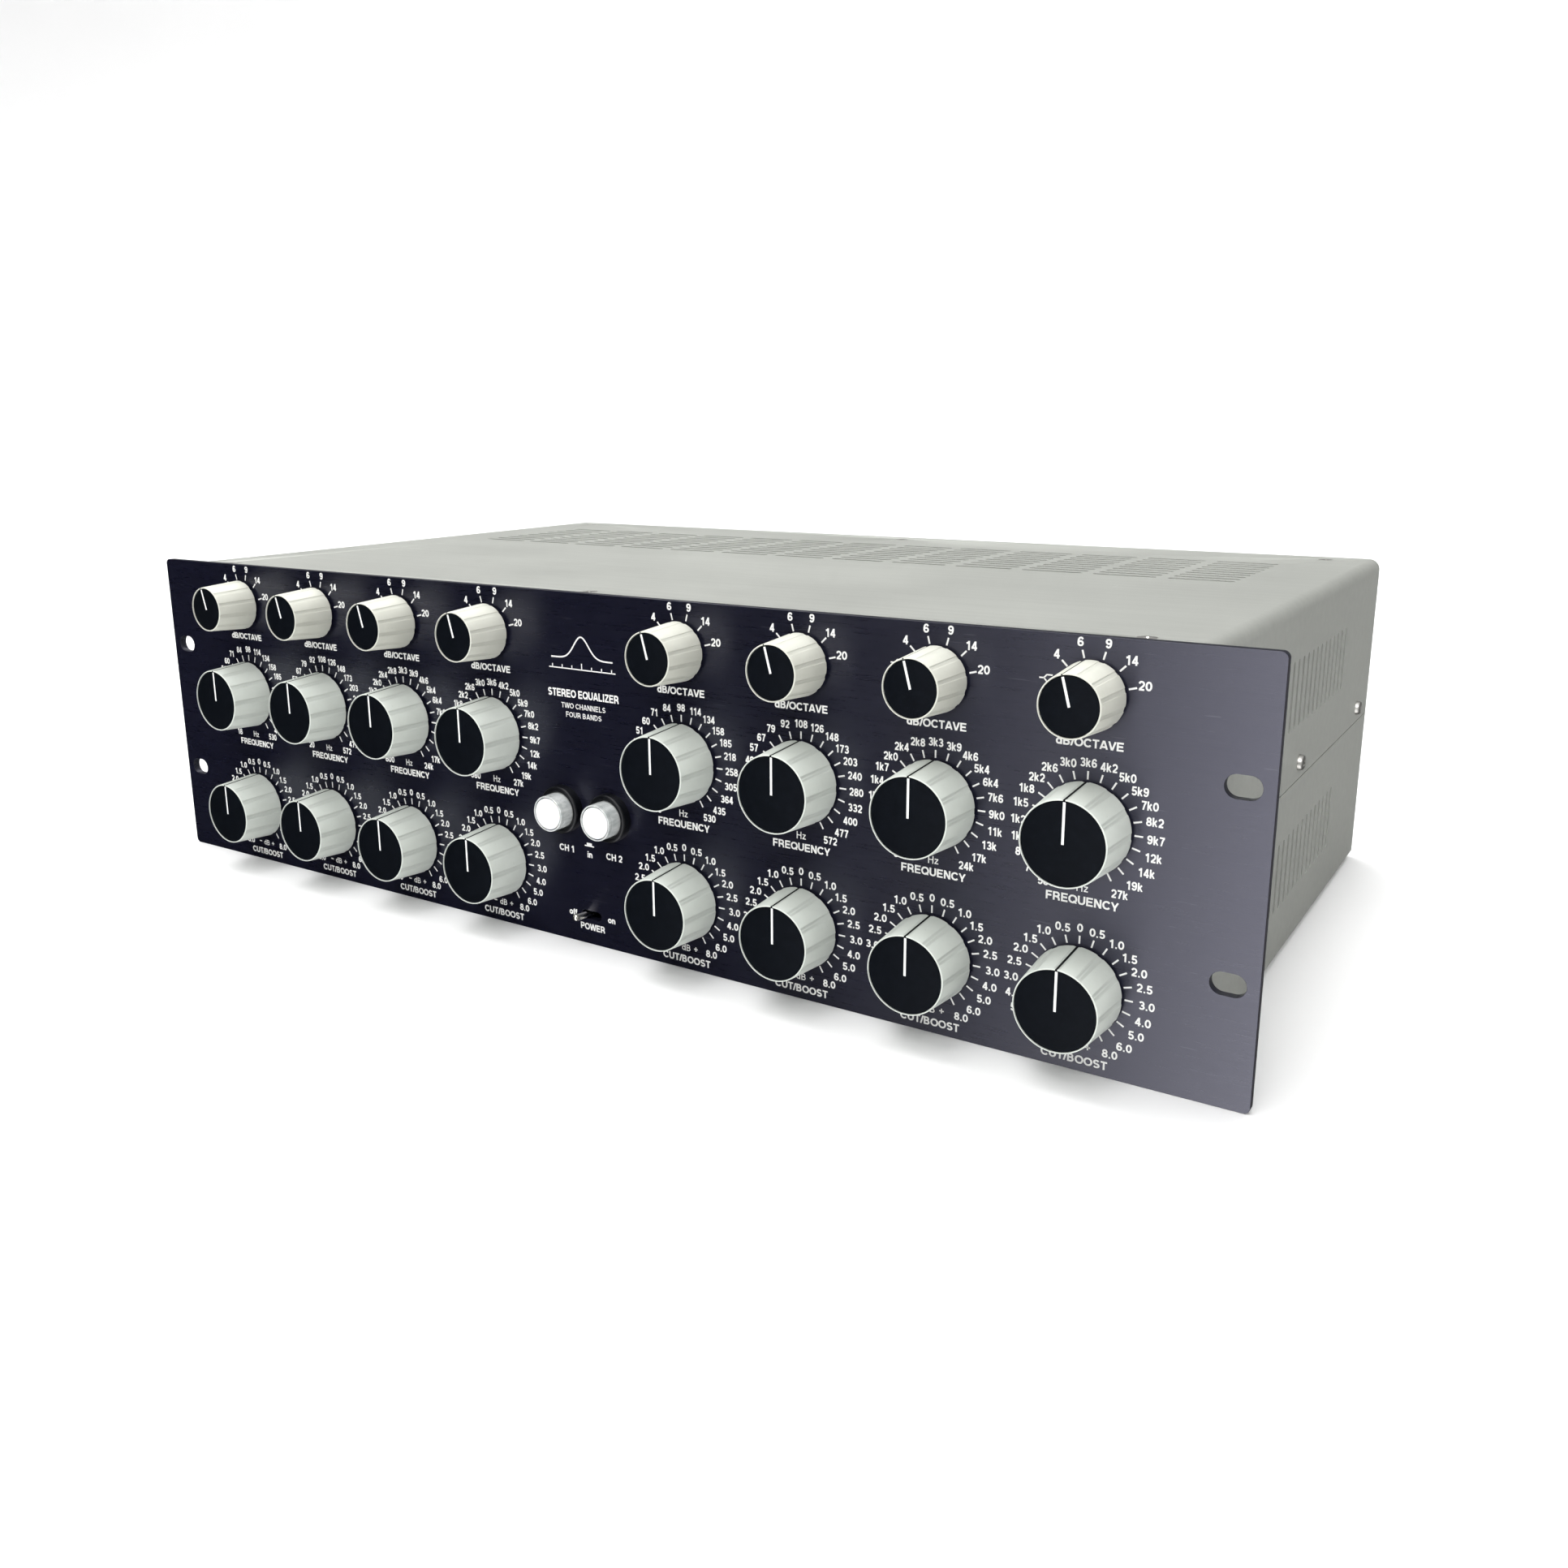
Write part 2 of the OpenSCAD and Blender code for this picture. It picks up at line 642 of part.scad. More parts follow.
module jack_nuts() {
    color("silver") for (x = jack_xs) translate([x, back_y, jack_z]) rotate([-90, 0, 0]) difference() {
        cylinder(h = 2.4, r = 8.1, $fn = 6);
        translate([0, 0, -1]) cylinder(h = 5, r = 6 + run);
    }
}

// ---- the parts, one line each ----

front_panel();
bottom_tray();
top_cover();
rear_panel();
top_cover_screws();
side_screws();
rear_panel_screws();
bushing_nuts();
ch1_rotary_switches();
ch2_rotary_switches();
ch1_control_board();
ch2_control_board();
ribbon_cables();
ch1_filter_board();
ch2_filter_board();
bypass_relays();
board_standoffs();
board_screws();
button_bezels();
button_switches();
power_switch();
power_supply_board();
smoothing_capacitors();
voltage_regulators();
mains_fuse();
transformer();
transformer_clamp();
mains_inlet();
inlet_screws();
mains_wiring();
line_jacks();
jack_nuts();
ch1_in_button();
ch2_in_button();
power_lever();
slope_knob(1, 1);  // ch1_band1_slope_knob
slope_knob(1, 2);  // ch1_band2_slope_knob
slope_knob(1, 3);  // ch1_band3_slope_knob
slope_knob(1, 4);  // ch1_band4_slope_knob
slope_knob(2, 1);  // ch2_band1_slope_knob
slope_knob(2, 2);  // ch2_band2_slope_knob
slope_knob(2, 3);  // ch2_band3_slope_knob
slope_knob(2, 4);  // ch2_band4_slope_knob
frequency_knob(1, 1);  // ch1_band1_frequency_knob
frequency_knob(1, 2);  // ch1_band2_frequency_knob
frequency_knob(1, 3);  // ch1_band3_frequency_knob
frequency_knob(1, 4);  // ch1_band4_frequency_knob
frequency_knob(2, 1);  // ch2_band1_frequency_knob
frequency_knob(2, 2);  // ch2_band2_frequency_knob
frequency_knob(2, 3);  // ch2_band3_frequency_knob
frequency_knob(2, 4);  // ch2_band4_frequency_knob
gain_knob(1, 1);  // ch1_band1_gain_knob
gain_knob(1, 2);  // ch1_band2_gain_knob
gain_knob(1, 3);  // ch1_band3_gain_knob
gain_knob(1, 4);  // ch1_band4_gain_knob
gain_knob(2, 1);  // ch2_band1_gain_knob
gain_knob(2, 2);  // ch2_band2_gain_knob
gain_knob(2, 3);  // ch2_band3_gain_knob
gain_knob(2, 4);  // ch2_band4_gain_knob
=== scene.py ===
import json
import math
import bmesh
import bpy
from mathutils import Matrix, Vector
from mathutils.geometry import delaunay_2d_cdt
import numpy as np

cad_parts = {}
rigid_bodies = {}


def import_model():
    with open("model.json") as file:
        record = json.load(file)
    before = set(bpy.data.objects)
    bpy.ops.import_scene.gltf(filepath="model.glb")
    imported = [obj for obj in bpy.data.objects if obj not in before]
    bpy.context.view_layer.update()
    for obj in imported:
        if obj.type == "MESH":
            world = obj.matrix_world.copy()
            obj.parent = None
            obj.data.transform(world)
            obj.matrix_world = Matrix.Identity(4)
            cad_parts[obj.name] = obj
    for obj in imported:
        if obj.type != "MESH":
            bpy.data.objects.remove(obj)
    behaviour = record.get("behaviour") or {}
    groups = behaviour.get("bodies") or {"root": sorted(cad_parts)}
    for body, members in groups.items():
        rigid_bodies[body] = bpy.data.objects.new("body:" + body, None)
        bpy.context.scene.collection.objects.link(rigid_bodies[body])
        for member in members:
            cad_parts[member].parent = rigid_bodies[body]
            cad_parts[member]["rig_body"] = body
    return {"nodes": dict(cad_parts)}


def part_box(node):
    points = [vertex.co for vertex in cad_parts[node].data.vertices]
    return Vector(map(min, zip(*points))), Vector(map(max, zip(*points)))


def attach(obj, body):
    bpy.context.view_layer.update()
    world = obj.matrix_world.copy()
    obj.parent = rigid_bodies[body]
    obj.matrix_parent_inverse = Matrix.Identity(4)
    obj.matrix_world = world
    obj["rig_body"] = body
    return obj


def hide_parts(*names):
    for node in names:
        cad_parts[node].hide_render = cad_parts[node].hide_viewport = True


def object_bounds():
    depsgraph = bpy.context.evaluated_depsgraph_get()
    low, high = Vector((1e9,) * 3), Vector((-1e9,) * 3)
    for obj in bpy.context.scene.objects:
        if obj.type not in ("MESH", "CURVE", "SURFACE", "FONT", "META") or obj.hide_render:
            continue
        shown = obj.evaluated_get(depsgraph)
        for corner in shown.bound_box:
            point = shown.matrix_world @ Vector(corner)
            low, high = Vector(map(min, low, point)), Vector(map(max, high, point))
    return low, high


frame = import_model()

cad_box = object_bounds()
MM = 0.001

# ---------------------------------------------------------------- camera
# A 31 mm lens stands about half a metre from the right end of the panel, a little above it.
camera_place = (0.3155, -0.3654, 0.1262)
camera_azimuth, camera_elevation, camera_roll = (math.radians(a) for a in (32.92, 13.72, -0.37))
camera_data = bpy.data.cameras.new("camera")
camera_data.lens = 30.91
camera_data.shift_x, camera_data.shift_y = 0.00864, -0.0242
camera_data.clip_start = 0.01
camera = bpy.data.objects.new("camera", camera_data)
bpy.context.scene.collection.objects.link(camera)
forward = np.array([-math.sin(camera_azimuth) * math.cos(camera_elevation),
                    math.cos(camera_azimuth) * math.cos(camera_elevation), -math.sin(camera_elevation)])
level = np.array([math.cos(camera_azimuth), math.sin(camera_azimuth), 0.0])
upward = np.cross(level, forward)
right = math.cos(camera_roll) * level + math.sin(camera_roll) * upward
above = np.cross(right, forward)
placing = np.eye(4)
placing[:3, 0], placing[:3, 1], placing[:3, 2], placing[:3, 3] = right, above, -forward, camera_place
camera.matrix_world = Matrix(placing)
bpy.context.scene.camera = camera
bpy.context.scene.view_settings.view_transform = "Standard"


# ---------------------------------------------------------------- case
# The case is folded 1.5 mm steel sheet with a warm grey satin coat: a tray below, a cover above
# and a plate at the back. The cover's sides lap over the tray's tongues and are screwed to them.

class Wire:
    """One output of a material's node. Sums and products of it add Math nodes."""

    def __init__(self, finish, socket):
        self.finish, self.socket = finish, socket

    def math(self, operation, *values):
        return self.finish.node("ShaderNodeMath", {"operation": operation}, dict(enumerate(values)))

    def __add__(self, other):
        return self.math("ADD", self, other)

    def __sub__(self, other):
        return self.math("SUBTRACT", self, other)

    def __rsub__(self, other):
        return self.math("SUBTRACT", other, self)

    def __mul__(self, other):
        return self.math("MULTIPLY", self, other)

    def above(self, edge, width):
        """A soft step: 0 below edge, 1 above edge + width."""
        return self.finish.node("ShaderNodeMapRange", {"interpolation_type": "SMOOTHSTEP"},
                                {"Value": self, "From Min": edge, "From Max": edge + width})

    __radd__, __rmul__ = __add__, __mul__


class Finish:
    """A procedural material: node() adds any node, and constants are set on the shader's own sockets."""

    def __init__(self, name, constants):
        self.material = bpy.data.materials.new(name)
        self.material.use_nodes = True
        self.tree = self.material.node_tree
        self.shader = next(n for n in self.tree.nodes if n.type == "BSDF_PRINCIPLED")
        self.feed(self.shader, constants)

    def feed(self, node, values):
        for key, value in values.items():
            if isinstance(value, Wire):
                self.tree.links.new(value.socket, node.inputs[key])
            else:
                node.inputs[key].default_value = value

    def node(self, kind, settings=None, values=None, out=0):
        made = self.tree.nodes.new(kind)
        for key, value in (settings or {}).items():
            if key == "stops":
                ramp = made.color_ramp.elements
                while len(ramp) < len(value):
                    ramp.new(0.5)
                for stop, (place, colour) in zip(ramp, value):
                    stop.position, stop.color = place, (*colour, 1)
            else:
                setattr(made, key, value)
        self.feed(made, values or {})
        return Wire(self, made.outputs[out])

    def place(self, scale=(1, 1, 1), turn=(0, 0, 0)):
        """Object coordinates in metres, stretched by scale."""
        coords = self.node("ShaderNodeTexCoord", out="Object")
        return self.node("ShaderNodeMapping", None, {"Vector": coords, "Scale": scale, "Rotation": turn})

    def noise(self, scale, detail=3.0, roughness=0.5, stretch=(1, 1, 1), turn=(0, 0, 0)):
        """Noise with scale features to the metre, stretched along the axes."""
        return self.node("ShaderNodeTexNoise", None, {"Vector": self.place(stretch, turn), "Scale": scale,
                                                      "Detail": detail, "Roughness": roughness})

    def mix(self, factor, one, two):
        """one where factor is 0, two where it is 1; both are colours or wires."""
        values = {"Factor": factor}
        for key, colour in ((6, one), (7, two)):
            values[key] = colour if isinstance(colour, Wire) else (*colour, 1)
        return self.node("ShaderNodeMix", {"data_type": "RGBA"}, values, out=2)

    def bump(self, height, strength, distance):
        return self.node("ShaderNodeBump", None,
                         {"Height": height, "Strength": strength, "Distance": distance})

    def varying(self, **values):
        """Feeds what changes over the surface: base_color, roughness, metallic, normal and so on."""
        self.feed(self.shader, {key.replace("_", " ").title(): value for key, value in values.items()})
        return self.material


def case_satin():
    """Satin grey coat: faint streaks from rolling, cloudy handling marks and a few brighter scuffs."""
    coat = Finish("case_satin", {"Metallic": 0.35, "Specular IOR Level": 0.45})
    streaks = coat.noise(1.0, 4, 0.65, (9, 260, 260))
    clouds = coat.noise(14, 4, 0.6)
    scuffs = coat.noise(1.0, 5, 0.7, (900, 60, 900)).above(0.66, 0.06)
    tone = coat.mix(streaks * 0.7 + clouds * 0.3, (0.335, 0.345, 0.320), (0.465, 0.475, 0.440))
    grain = coat.noise(2600, 2)
    return coat.varying(base_color=coat.mix(scuffs * 0.35, tone, (0.66, 0.67, 0.64)),
                        roughness=0.36 + clouds * 0.16 + scuffs * 0.1,
                        normal=coat.bump(grain + streaks * 0.6, 0.10, 0.0002))


def put_in_scene(name, mesh, materials, body):
    """Links a finished mesh as one piece with its materials, riding on a body."""
    piece = bpy.data.objects.new(name, mesh)
    bpy.context.scene.collection.objects.link(piece)
    for material in materials:
        mesh.materials.append(material)
    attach(piece, body)
    return piece


def folded_copy(node, name, material, edge=0.0, limit=35):
    """A welded copy of a CAD node: flat triangles are joined, faces up to limit degrees apart are
    shaded as one, and sharp edges get a bevel edge wide."""
    mesh = frame["nodes"][node].data.copy()
    mesh.materials.clear()
    shape = bmesh.new()
    shape.from_mesh(mesh)
    bmesh.ops.remove_doubles(shape, verts=shape.verts, dist=1e-6)
    bmesh.ops.dissolve_limit(shape, angle_limit=math.radians(0.05), verts=shape.verts, edges=shape.edges)
    for face in shape.faces:
        face.smooth = True
    shape.to_mesh(mesh)
    shape.free()
    mesh.set_sharp_from_angle(angle=math.radians(limit))
    piece = put_in_scene(name, mesh, [material], frame["nodes"][node]["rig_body"])
    if edge:
        bevel = piece.modifiers.new("edges", "BEVEL")
        bevel.width, bevel.segments, bevel.limit_method = edge, 2, "ANGLE"
        bevel.angle_limit = math.radians(limit)
        bevel.harden_normals = True
    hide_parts(node)
    return piece


case_coat = case_satin()
for case_node in ("bottom_tray", "top_cover", "rear_panel"):
    folded_copy(case_node, case_node + "_sheet", case_coat)


# ---------------------------------------------------------------- front panel
# The front panel is 3 mm aluminium, brushed along its length and anodised a dark violet blue.
# It is clamped to the tray's front wall by the nuts of the rotary switches.

def panel_anodised():
    """Dark anodised aluminium: a navy dye under a hard clear oxide, brushed along its length, so that
    reflections spread up and down. Clouds from the dye bath and a few scratches."""
    skin = Finish("panel_anodised", {"IOR": 1.62, "Anisotropic": 0.85, "Anisotropic Rotation": 0.25,
                                     "Specular Tint": (0.86, 0.86, 1.0, 1.0)})
    brush = skin.noise(1.0, 5, 0.75, (70, 900, 1500))
    fine = skin.noise(1.0, 2, 0.6, (160, 2000, 9000))
    clouds = skin.noise(7, 4, 0.6)
    scratches = skin.noise(1.0, 2, 0.4, (70, 900, 1500), (0, 0.5, 0)).above(0.75, 0.02)
    dye = skin.mix(clouds, (0.0020, 0.0024, 0.0080), (0.0050, 0.0054, 0.0150))
    lines = skin.mix(brush.above(0.25, 0.5) * 0.4 + fine * 0.3, dye, (0.0098, 0.0100, 0.0210))
    return skin.varying(base_color=skin.mix(scratches * 0.25, lines, (0.10, 0.10, 0.12)),
                        roughness=0.12 + brush * 0.28 + clouds * 0.09,
                        normal=skin.bump(brush + fine * 0.4, 0.25, 0.00012))


panel_skin = panel_anodised()
folded_copy("front_panel", "front_panel_plate", panel_skin, 0.25 * MM)
front_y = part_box("front_panel")[0].y


# ---------------------------------------------------------------- printing on the panel
# Scales, numbers and captions are white ink, screen printed a few hundredths of a millimetre thick.

def screen_ink():
    """White ink: slightly uneven cover, matt."""
    ink = Finish("screen_ink", {"Specular IOR Level": 0.3, "Emission Strength": 0.0})
    cover = ink.noise(900, 3)
    return ink.varying(base_color=ink.mix(cover, (0.72, 0.72, 0.70), (0.90, 0.90, 0.88)),
                       roughness=0.5 + cover * 0.2)


# Bold plain letters as pen paths on a cap height of 1: for each sign its advance and its strokes. A
# stroke runs through points (x, y) and arcs (centre x, centre y, radius x, radius y, start, end).
LETTERS = {
    "0": (.74, [[(.37, .5, .25, .41, 0, 360)]]),
    "1": (.66, [[(.40, 0), (.40, 1)], [(.10, .75), (.26, .78), (.38, .92)]]),
    "2": (.74, [[(.37, .66, .24, .25, 170, -35), (.17, .13)], [(.10, .09), (.65, .09)]]),
    "3": (.74, [[(.36, .705, .22, .205, 160, -100)], [(.37, .295, .25, .205, 105, -155)]]),
    "4": (.74, [[(.49, 0), (.49, 1)], [(.47, .96), (.12, .30)], [(.04, .28), (.68, .28)]]),
    "5": (.74, [[(.63, .91), (.17, .91)], [(.22, .97), (.165, .47)], [(.36, .325, .25, .235, 148, -155)]]),
    "6": (.74, [[(.38, .31, .24, .22, 0, 360)], [(.40, .5, .26, .41, 35, 180), (.14, .33)]]),
    "7": (.72, [[(.08, .91), (.67, .91)], [(.60, .90), (.42, .55), (.28, 0)]]),
    "8": (.74, [[(.37, .715, .205, .195, 0, 360)], [(.37, .295, .245, .205, 0, 360)]]),
    "9": (.74, [[(.36, .69, .24, .22, 0, 360)], [(.34, .5, .26, .41, 215, 360), (.60, .67)]]),
    ".": (.36, [[(.09, .09), (.27, .09)]]),
    "/": (.36, [[(.04, -.03), (.32, 1.03)]]),
    "k": (.69, [[(.14, 0), (.14, 1)], [(.17, .29), (.53, .74)], [(.28, .44), (.56, 0)]]),
    "z": (.62, [[(.07, .65), (.55, .65)], [(.51, .64), (.12, .10)], [(.06, .09), (.57, .09)]]),
    "i": (.34, [[(.17, 0), (.17, .74)], [(.17, .85), (.17, 1)]]),
    "n": (.72, [[(.14, 0), (.14, .74)], [(.35, .43, .21, .225, 150, 0), (.56, 0)]]),
    "o": (.76, [[(.38, .37, .26, .28, 0, 360)]]),
    "f": (.42, [[(.19, 0), (.19, .74), (.36, .76, .17, .15, 180, 80)], [(.03, .65), (.38, .65)]]),
    "d": (.76, [[(.61, 0), (.61, 1)], [(.37, .37, .24, .28, 0, 360)]]),
    "A": (.90, [[(.10, 0), (.43, 1)], [(.80, 0), (.47, 1)], [(.22, .27), (.68, .27)]]),
    "B": (.88, [[(.16, 0), (.16, 1)], [(.16, .91), (.42, .91), (.43, .715, .20, .195, 80, -90), (.16, .52)],
                [(.43, .52), (.45, .305, .235, .215, 80, -90), (.16, .09)]]),
    "C": (.92, [[(.49, .5, .37, .41, 38, 322)]]),
    "D": (.90, [[(.16, 0), (.16, 1)], [(.16, .91), (.38, .5, .37, .41, 90, -90), (.16, .09)]]),
    "E": (.84, [[(.16, 0), (.16, 1)], [(.16, .91), (.76, .91)], [(.16, .51), (.71, .51)],
                [(.16, .09), (.77, .09)]]),
    "F": (.78, [[(.16, 0), (.16, 1)], [(.16, .91), (.73, .91)], [(.16, .49), (.67, .49)]]),
    "H": (.90, [[(.16, 0), (.16, 1)], [(.74, 0), (.74, 1)], [(.16, .52), (.74, .52)]]),
    "I": (.36, [[(.18, 0), (.18, 1)]]),
    "L": (.76, [[(.16, 0), (.16, 1)], [(.16, .09), (.70, .09)]]),
    "M": (1.06, [[(.16, 0), (.16, 1)], [(.90, 0), (.90, 1)], [(.20, .97), (.50, .05)],
                 [(.86, .97), (.56, .05)]]),
    "N": (.90, [[(.16, 0), (.16, 1)], [(.74, 0), (.74, 1)], [(.19, .95), (.71, .05)]]),
    "O": (.98, [[(.49, .5, .385, .41, 0, 360)]]),
    "P": (.84, [[(.16, 0), (.16, 1)], [(.16, .91), (.44, .91), (.46, .67, .23, .24, 80, -90), (.16, .43)]]),
    "Q": (.98, [[(.49, .5, .385, .41, 0, 360)], [(.56, .28), (.88, -.02)]]),
    "R": (.90, [[(.16, 0), (.16, 1)], [(.16, .91), (.46, .91), (.48, .68, .22, .23, 80, -90), (.16, .45)],
                [(.44, .43), (.66, .36), (.72, .20), (.74, 0)]]),
    "S": (.84, [[(.42, .70, .25, .21, 25, 235), (.42, .295, .27, .205, 60, -155)]]),
    "T": (.78, [[(.04, .91), (.74, .91)], [(.39, 0), (.39, .91)]]),
    "U": (.90, [[(.15, 1), (.45, .38, .30, .29, 180, 360), (.75, 1)]]),
    "V": (.84, [[(.09, 1), (.40, 0)], [(.75, 1), (.44, 0)]]),
    "W": (1.20, [[(.08, 1), (.31, 0)], [(.35, 0), (.58, 1)], [(.62, 1), (.85, 0)], [(.89, 0), (1.12, 1)]]),
    "Y": (.84, [[(.42, 0), (.42, .42)], [(.10, 1), (.41, .38)], [(.74, 1), (.43, .38)]]),
    "Z": (.78, [[(.08, .91), (.70, .91)], [(.66, .89), (.12, .11)], [(.06, .09), (.72, .09)]]),
}


def stroke_quads(path, width):
    """A pen stroke as a row of quads: points half a width to each side of the path, along the
    bisector at each bend, and cut off level at the baseline and the cap height."""
    spine = []
    for item in path:
        if len(item) == 2:
            spine.append(np.array([item], float))
            continue
        x, y, rx, ry, start, end = item
        angle = np.radians(np.linspace(start, end, max(2, math.ceil(abs(end - start) / 30)) + 1))
        spine.append(np.stack([x + rx * np.cos(angle), y + ry * np.sin(angle)], 1))
    spine = np.concatenate(spine)
    ahead = np.diff(spine, axis=0)
    ahead /= np.linalg.norm(ahead, axis=1)[:, None]
    closed = np.allclose(spine[0], spine[-1])
    before = np.vstack([ahead[-1:] if closed else ahead[:1], ahead])
    after = np.vstack([ahead, ahead[:1] if closed else ahead[-1:]])
    across = np.stack([-(before + after)[:, 1], (before + after)[:, 0]], 1)
    across /= np.linalg.norm(across, axis=1)[:, None]
    lean = np.abs(across[:, 1] * after[:, 0] - across[:, 0] * after[:, 1])
    offset = across * (width / 2 / np.clip(lean, 0.45, 1))[:, None]
    sides = np.stack([spine + offset, spine - offset])
    sides[..., 1] = np.clip(sides[..., 1], 0, 1)
    return np.stack([sides[0, :-1], sides[1, :-1], sides[1, 1:], sides[0, 1:]], 1)


letter_cache = {}


def letter(sign, width):
    """Advance, points and faces of one sign, its strokes joined into one flat outline."""
    if (sign, width) not in letter_cache:
        advance, strokes = LETTERS[sign]
        corners = np.concatenate([stroke_quads(path, width) for path in strokes]).reshape(-1, 2)
        points, _, faces, _, _, origin = delaunay_2d_cdt(
            [Vector(p) for p in corners], [], np.arange(len(corners)).reshape(-1, 4).tolist(), 3, 1e-5, True)
        letter_cache[sign, width] = (advance, np.array([p[:] for p in points]),
                                     [list(f) for f, o in zip(faces, origin) if o])
    return letter_cache[sign, width]


INK = 0.03 * MM        # thickness of the ink


class Print:
    """Collects flat printed shapes on a plane, and makes them one thin closed piece."""

    def __init__(self, plane_y, outward):
        self.plane_y, self.outward = plane_y, outward
        self.points, self.faces, self.count = [], [], 0

    def add(self, points, faces):
        """points are in millimetres, x to the right and z up as seen from outside, counterclockwise."""
        points = np.asarray(points, float)
        self.points.append(points)
        self.faces += [[i + self.count for i in face] for face in faces]
        self.count += len(points)

    def word(self, text, x, z, height, width=None, pen=0.205, stretch=1.02):
        """A word centred on x, z. width stretches or narrows it to a given length, stretch by a part."""
        signs = [letter(sign, pen) if sign != " " else (0.34, None, None) for sign in text]
        starts = np.cumsum([0] + [advance for advance, _, _ in signs])
        narrow = width / (height * (starts[-1] - 0.14)) if width else stretch
        for start, (_, points, faces) in zip(starts, signs):
            if faces:
                self.add((points - (starts[-1] / 2 - start, 0.5)) * (height * narrow, height) + (x, z), faces)

    def bar(self, x0, z0, x1, z1, width):
        """A straight stroke with square ends between two points."""
        start, end = np.array([x0, z0]), np.array([x1, z1])
        along = (end - start) / np.linalg.norm(end - start)
        across = np.array([-along[1], along[0]]) * width / 2
        self.add([start - across, end - across, end + across, start + across], [[0, 1, 2, 3]])

    def piece(self, name, material, slot, body="chassis"):
        flat = np.concatenate(self.points) * MM
        n, side = len(flat), self.outward
        layers = [np.insert(flat * (1 if side < 0 else -1, 1), 1, self.plane_y + side * t, axis=1)
                  for t in (INK, -0.3 * INK)]
        edges = {}
        for face in self.faces:
            for a, b in zip(face, face[1:] + face[:1]):
                edges[a, b] = True
        rims = [[b, a, a + n, b + n] for a, b in edges if (b, a) not in edges]
        mesh = bpy.data.meshes.new(name)
        mesh.from_pydata(np.concatenate(layers), [],
                         self.faces + [[i + n for i in reversed(f)] for f in self.faces] + rims)
        return put_in_scene(name, mesh, [material], body)


def tick_ring(marks, x, z, angles, inner, outer, width):
    for angle in angles:
        s, c = math.sin(math.radians(angle)), math.cos(math.radians(angle))
        marks.bar(x + s * inner, z + c * inner, x + s * outer, z + c * outer, width)


def number_ring(marks, x, z, angles, labels, height, across, up, stretch=1.0):
    """Numbers stand upright round a dial. across and up are the middles of the numbers at every
    fifteen degrees from the top, on either side, in millimetres from the middle of the dial."""
    for angle, label in zip(angles, labels):
        place = abs(angle) / 15
        marks.word(label, x + math.copysign(np.interp(place, range(len(across)), across), angle),
                    z + np.interp(place, range(len(up)), up), height, pen=0.195, stretch=stretch)


dial_across = [0, 5.3, 11.2, 15.3, 18.3, 20.15, 21.1, 20.3, 18.5, 15.2, 11.0]
frequency_across = [0, 6.1, 11.6, 15.4, 18.4, 20.1, 20.7, 20.3, 18.6, 15.4, 11.2]
dial_up = [19.5, 18.8, 16.6, 13.1, 9.3, 4.8, -0.5, -5.8, -10.5, -15.0, -18.3]
slope_across = [0, 4.1, 7.8, 10.9, 13.4, 15.0]
slope_up = [15.6, 15.1, 13.6, 11.0, 7.8, 4.2]
slope_angles = range(-75, 76, 30)
dial_angles = range(-150, 151, 15)
slope_marks = ["4", "6", "9", "14", "20"]
gain_marks = ["8.0", "6.0", "5.0", "4.0", "3.0", "2.5", "2.0", "1.5", "1.0", "0.5"]
gain_marks = gain_marks + ["0"] + gain_marks[::-1]
frequency_marks = [
    "18 22 26 31 37 43 51 60 71 84 98 114 134 158 185 218 258 305 364 435 530",
    "20 24 29 35 41 49 57 67 79 92 108 126 148 173 203 240 280 332 400 477 572",
    "600 720 850 1k0 1k2 1k4 1k7 2k0 2k4 2k8 3k3 3k9 4k6 5k4 6k4 7k6 9k0 11k 13k 17k 24k",
    "580 700 850 1k0 1k2 1k5 1k8 2k2 2k6 3k0 3k6 4k2 5k0 5k9 7k0 8k2 9k7 12k 14k 19k 27k",
]


def middle_of(node):
    """Middle of a node's box as seen from the front, in millimetres."""
    low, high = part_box(node)
    return (low.x + high.x) / 2 / MM, (low.z + high.z) / 2 / MM


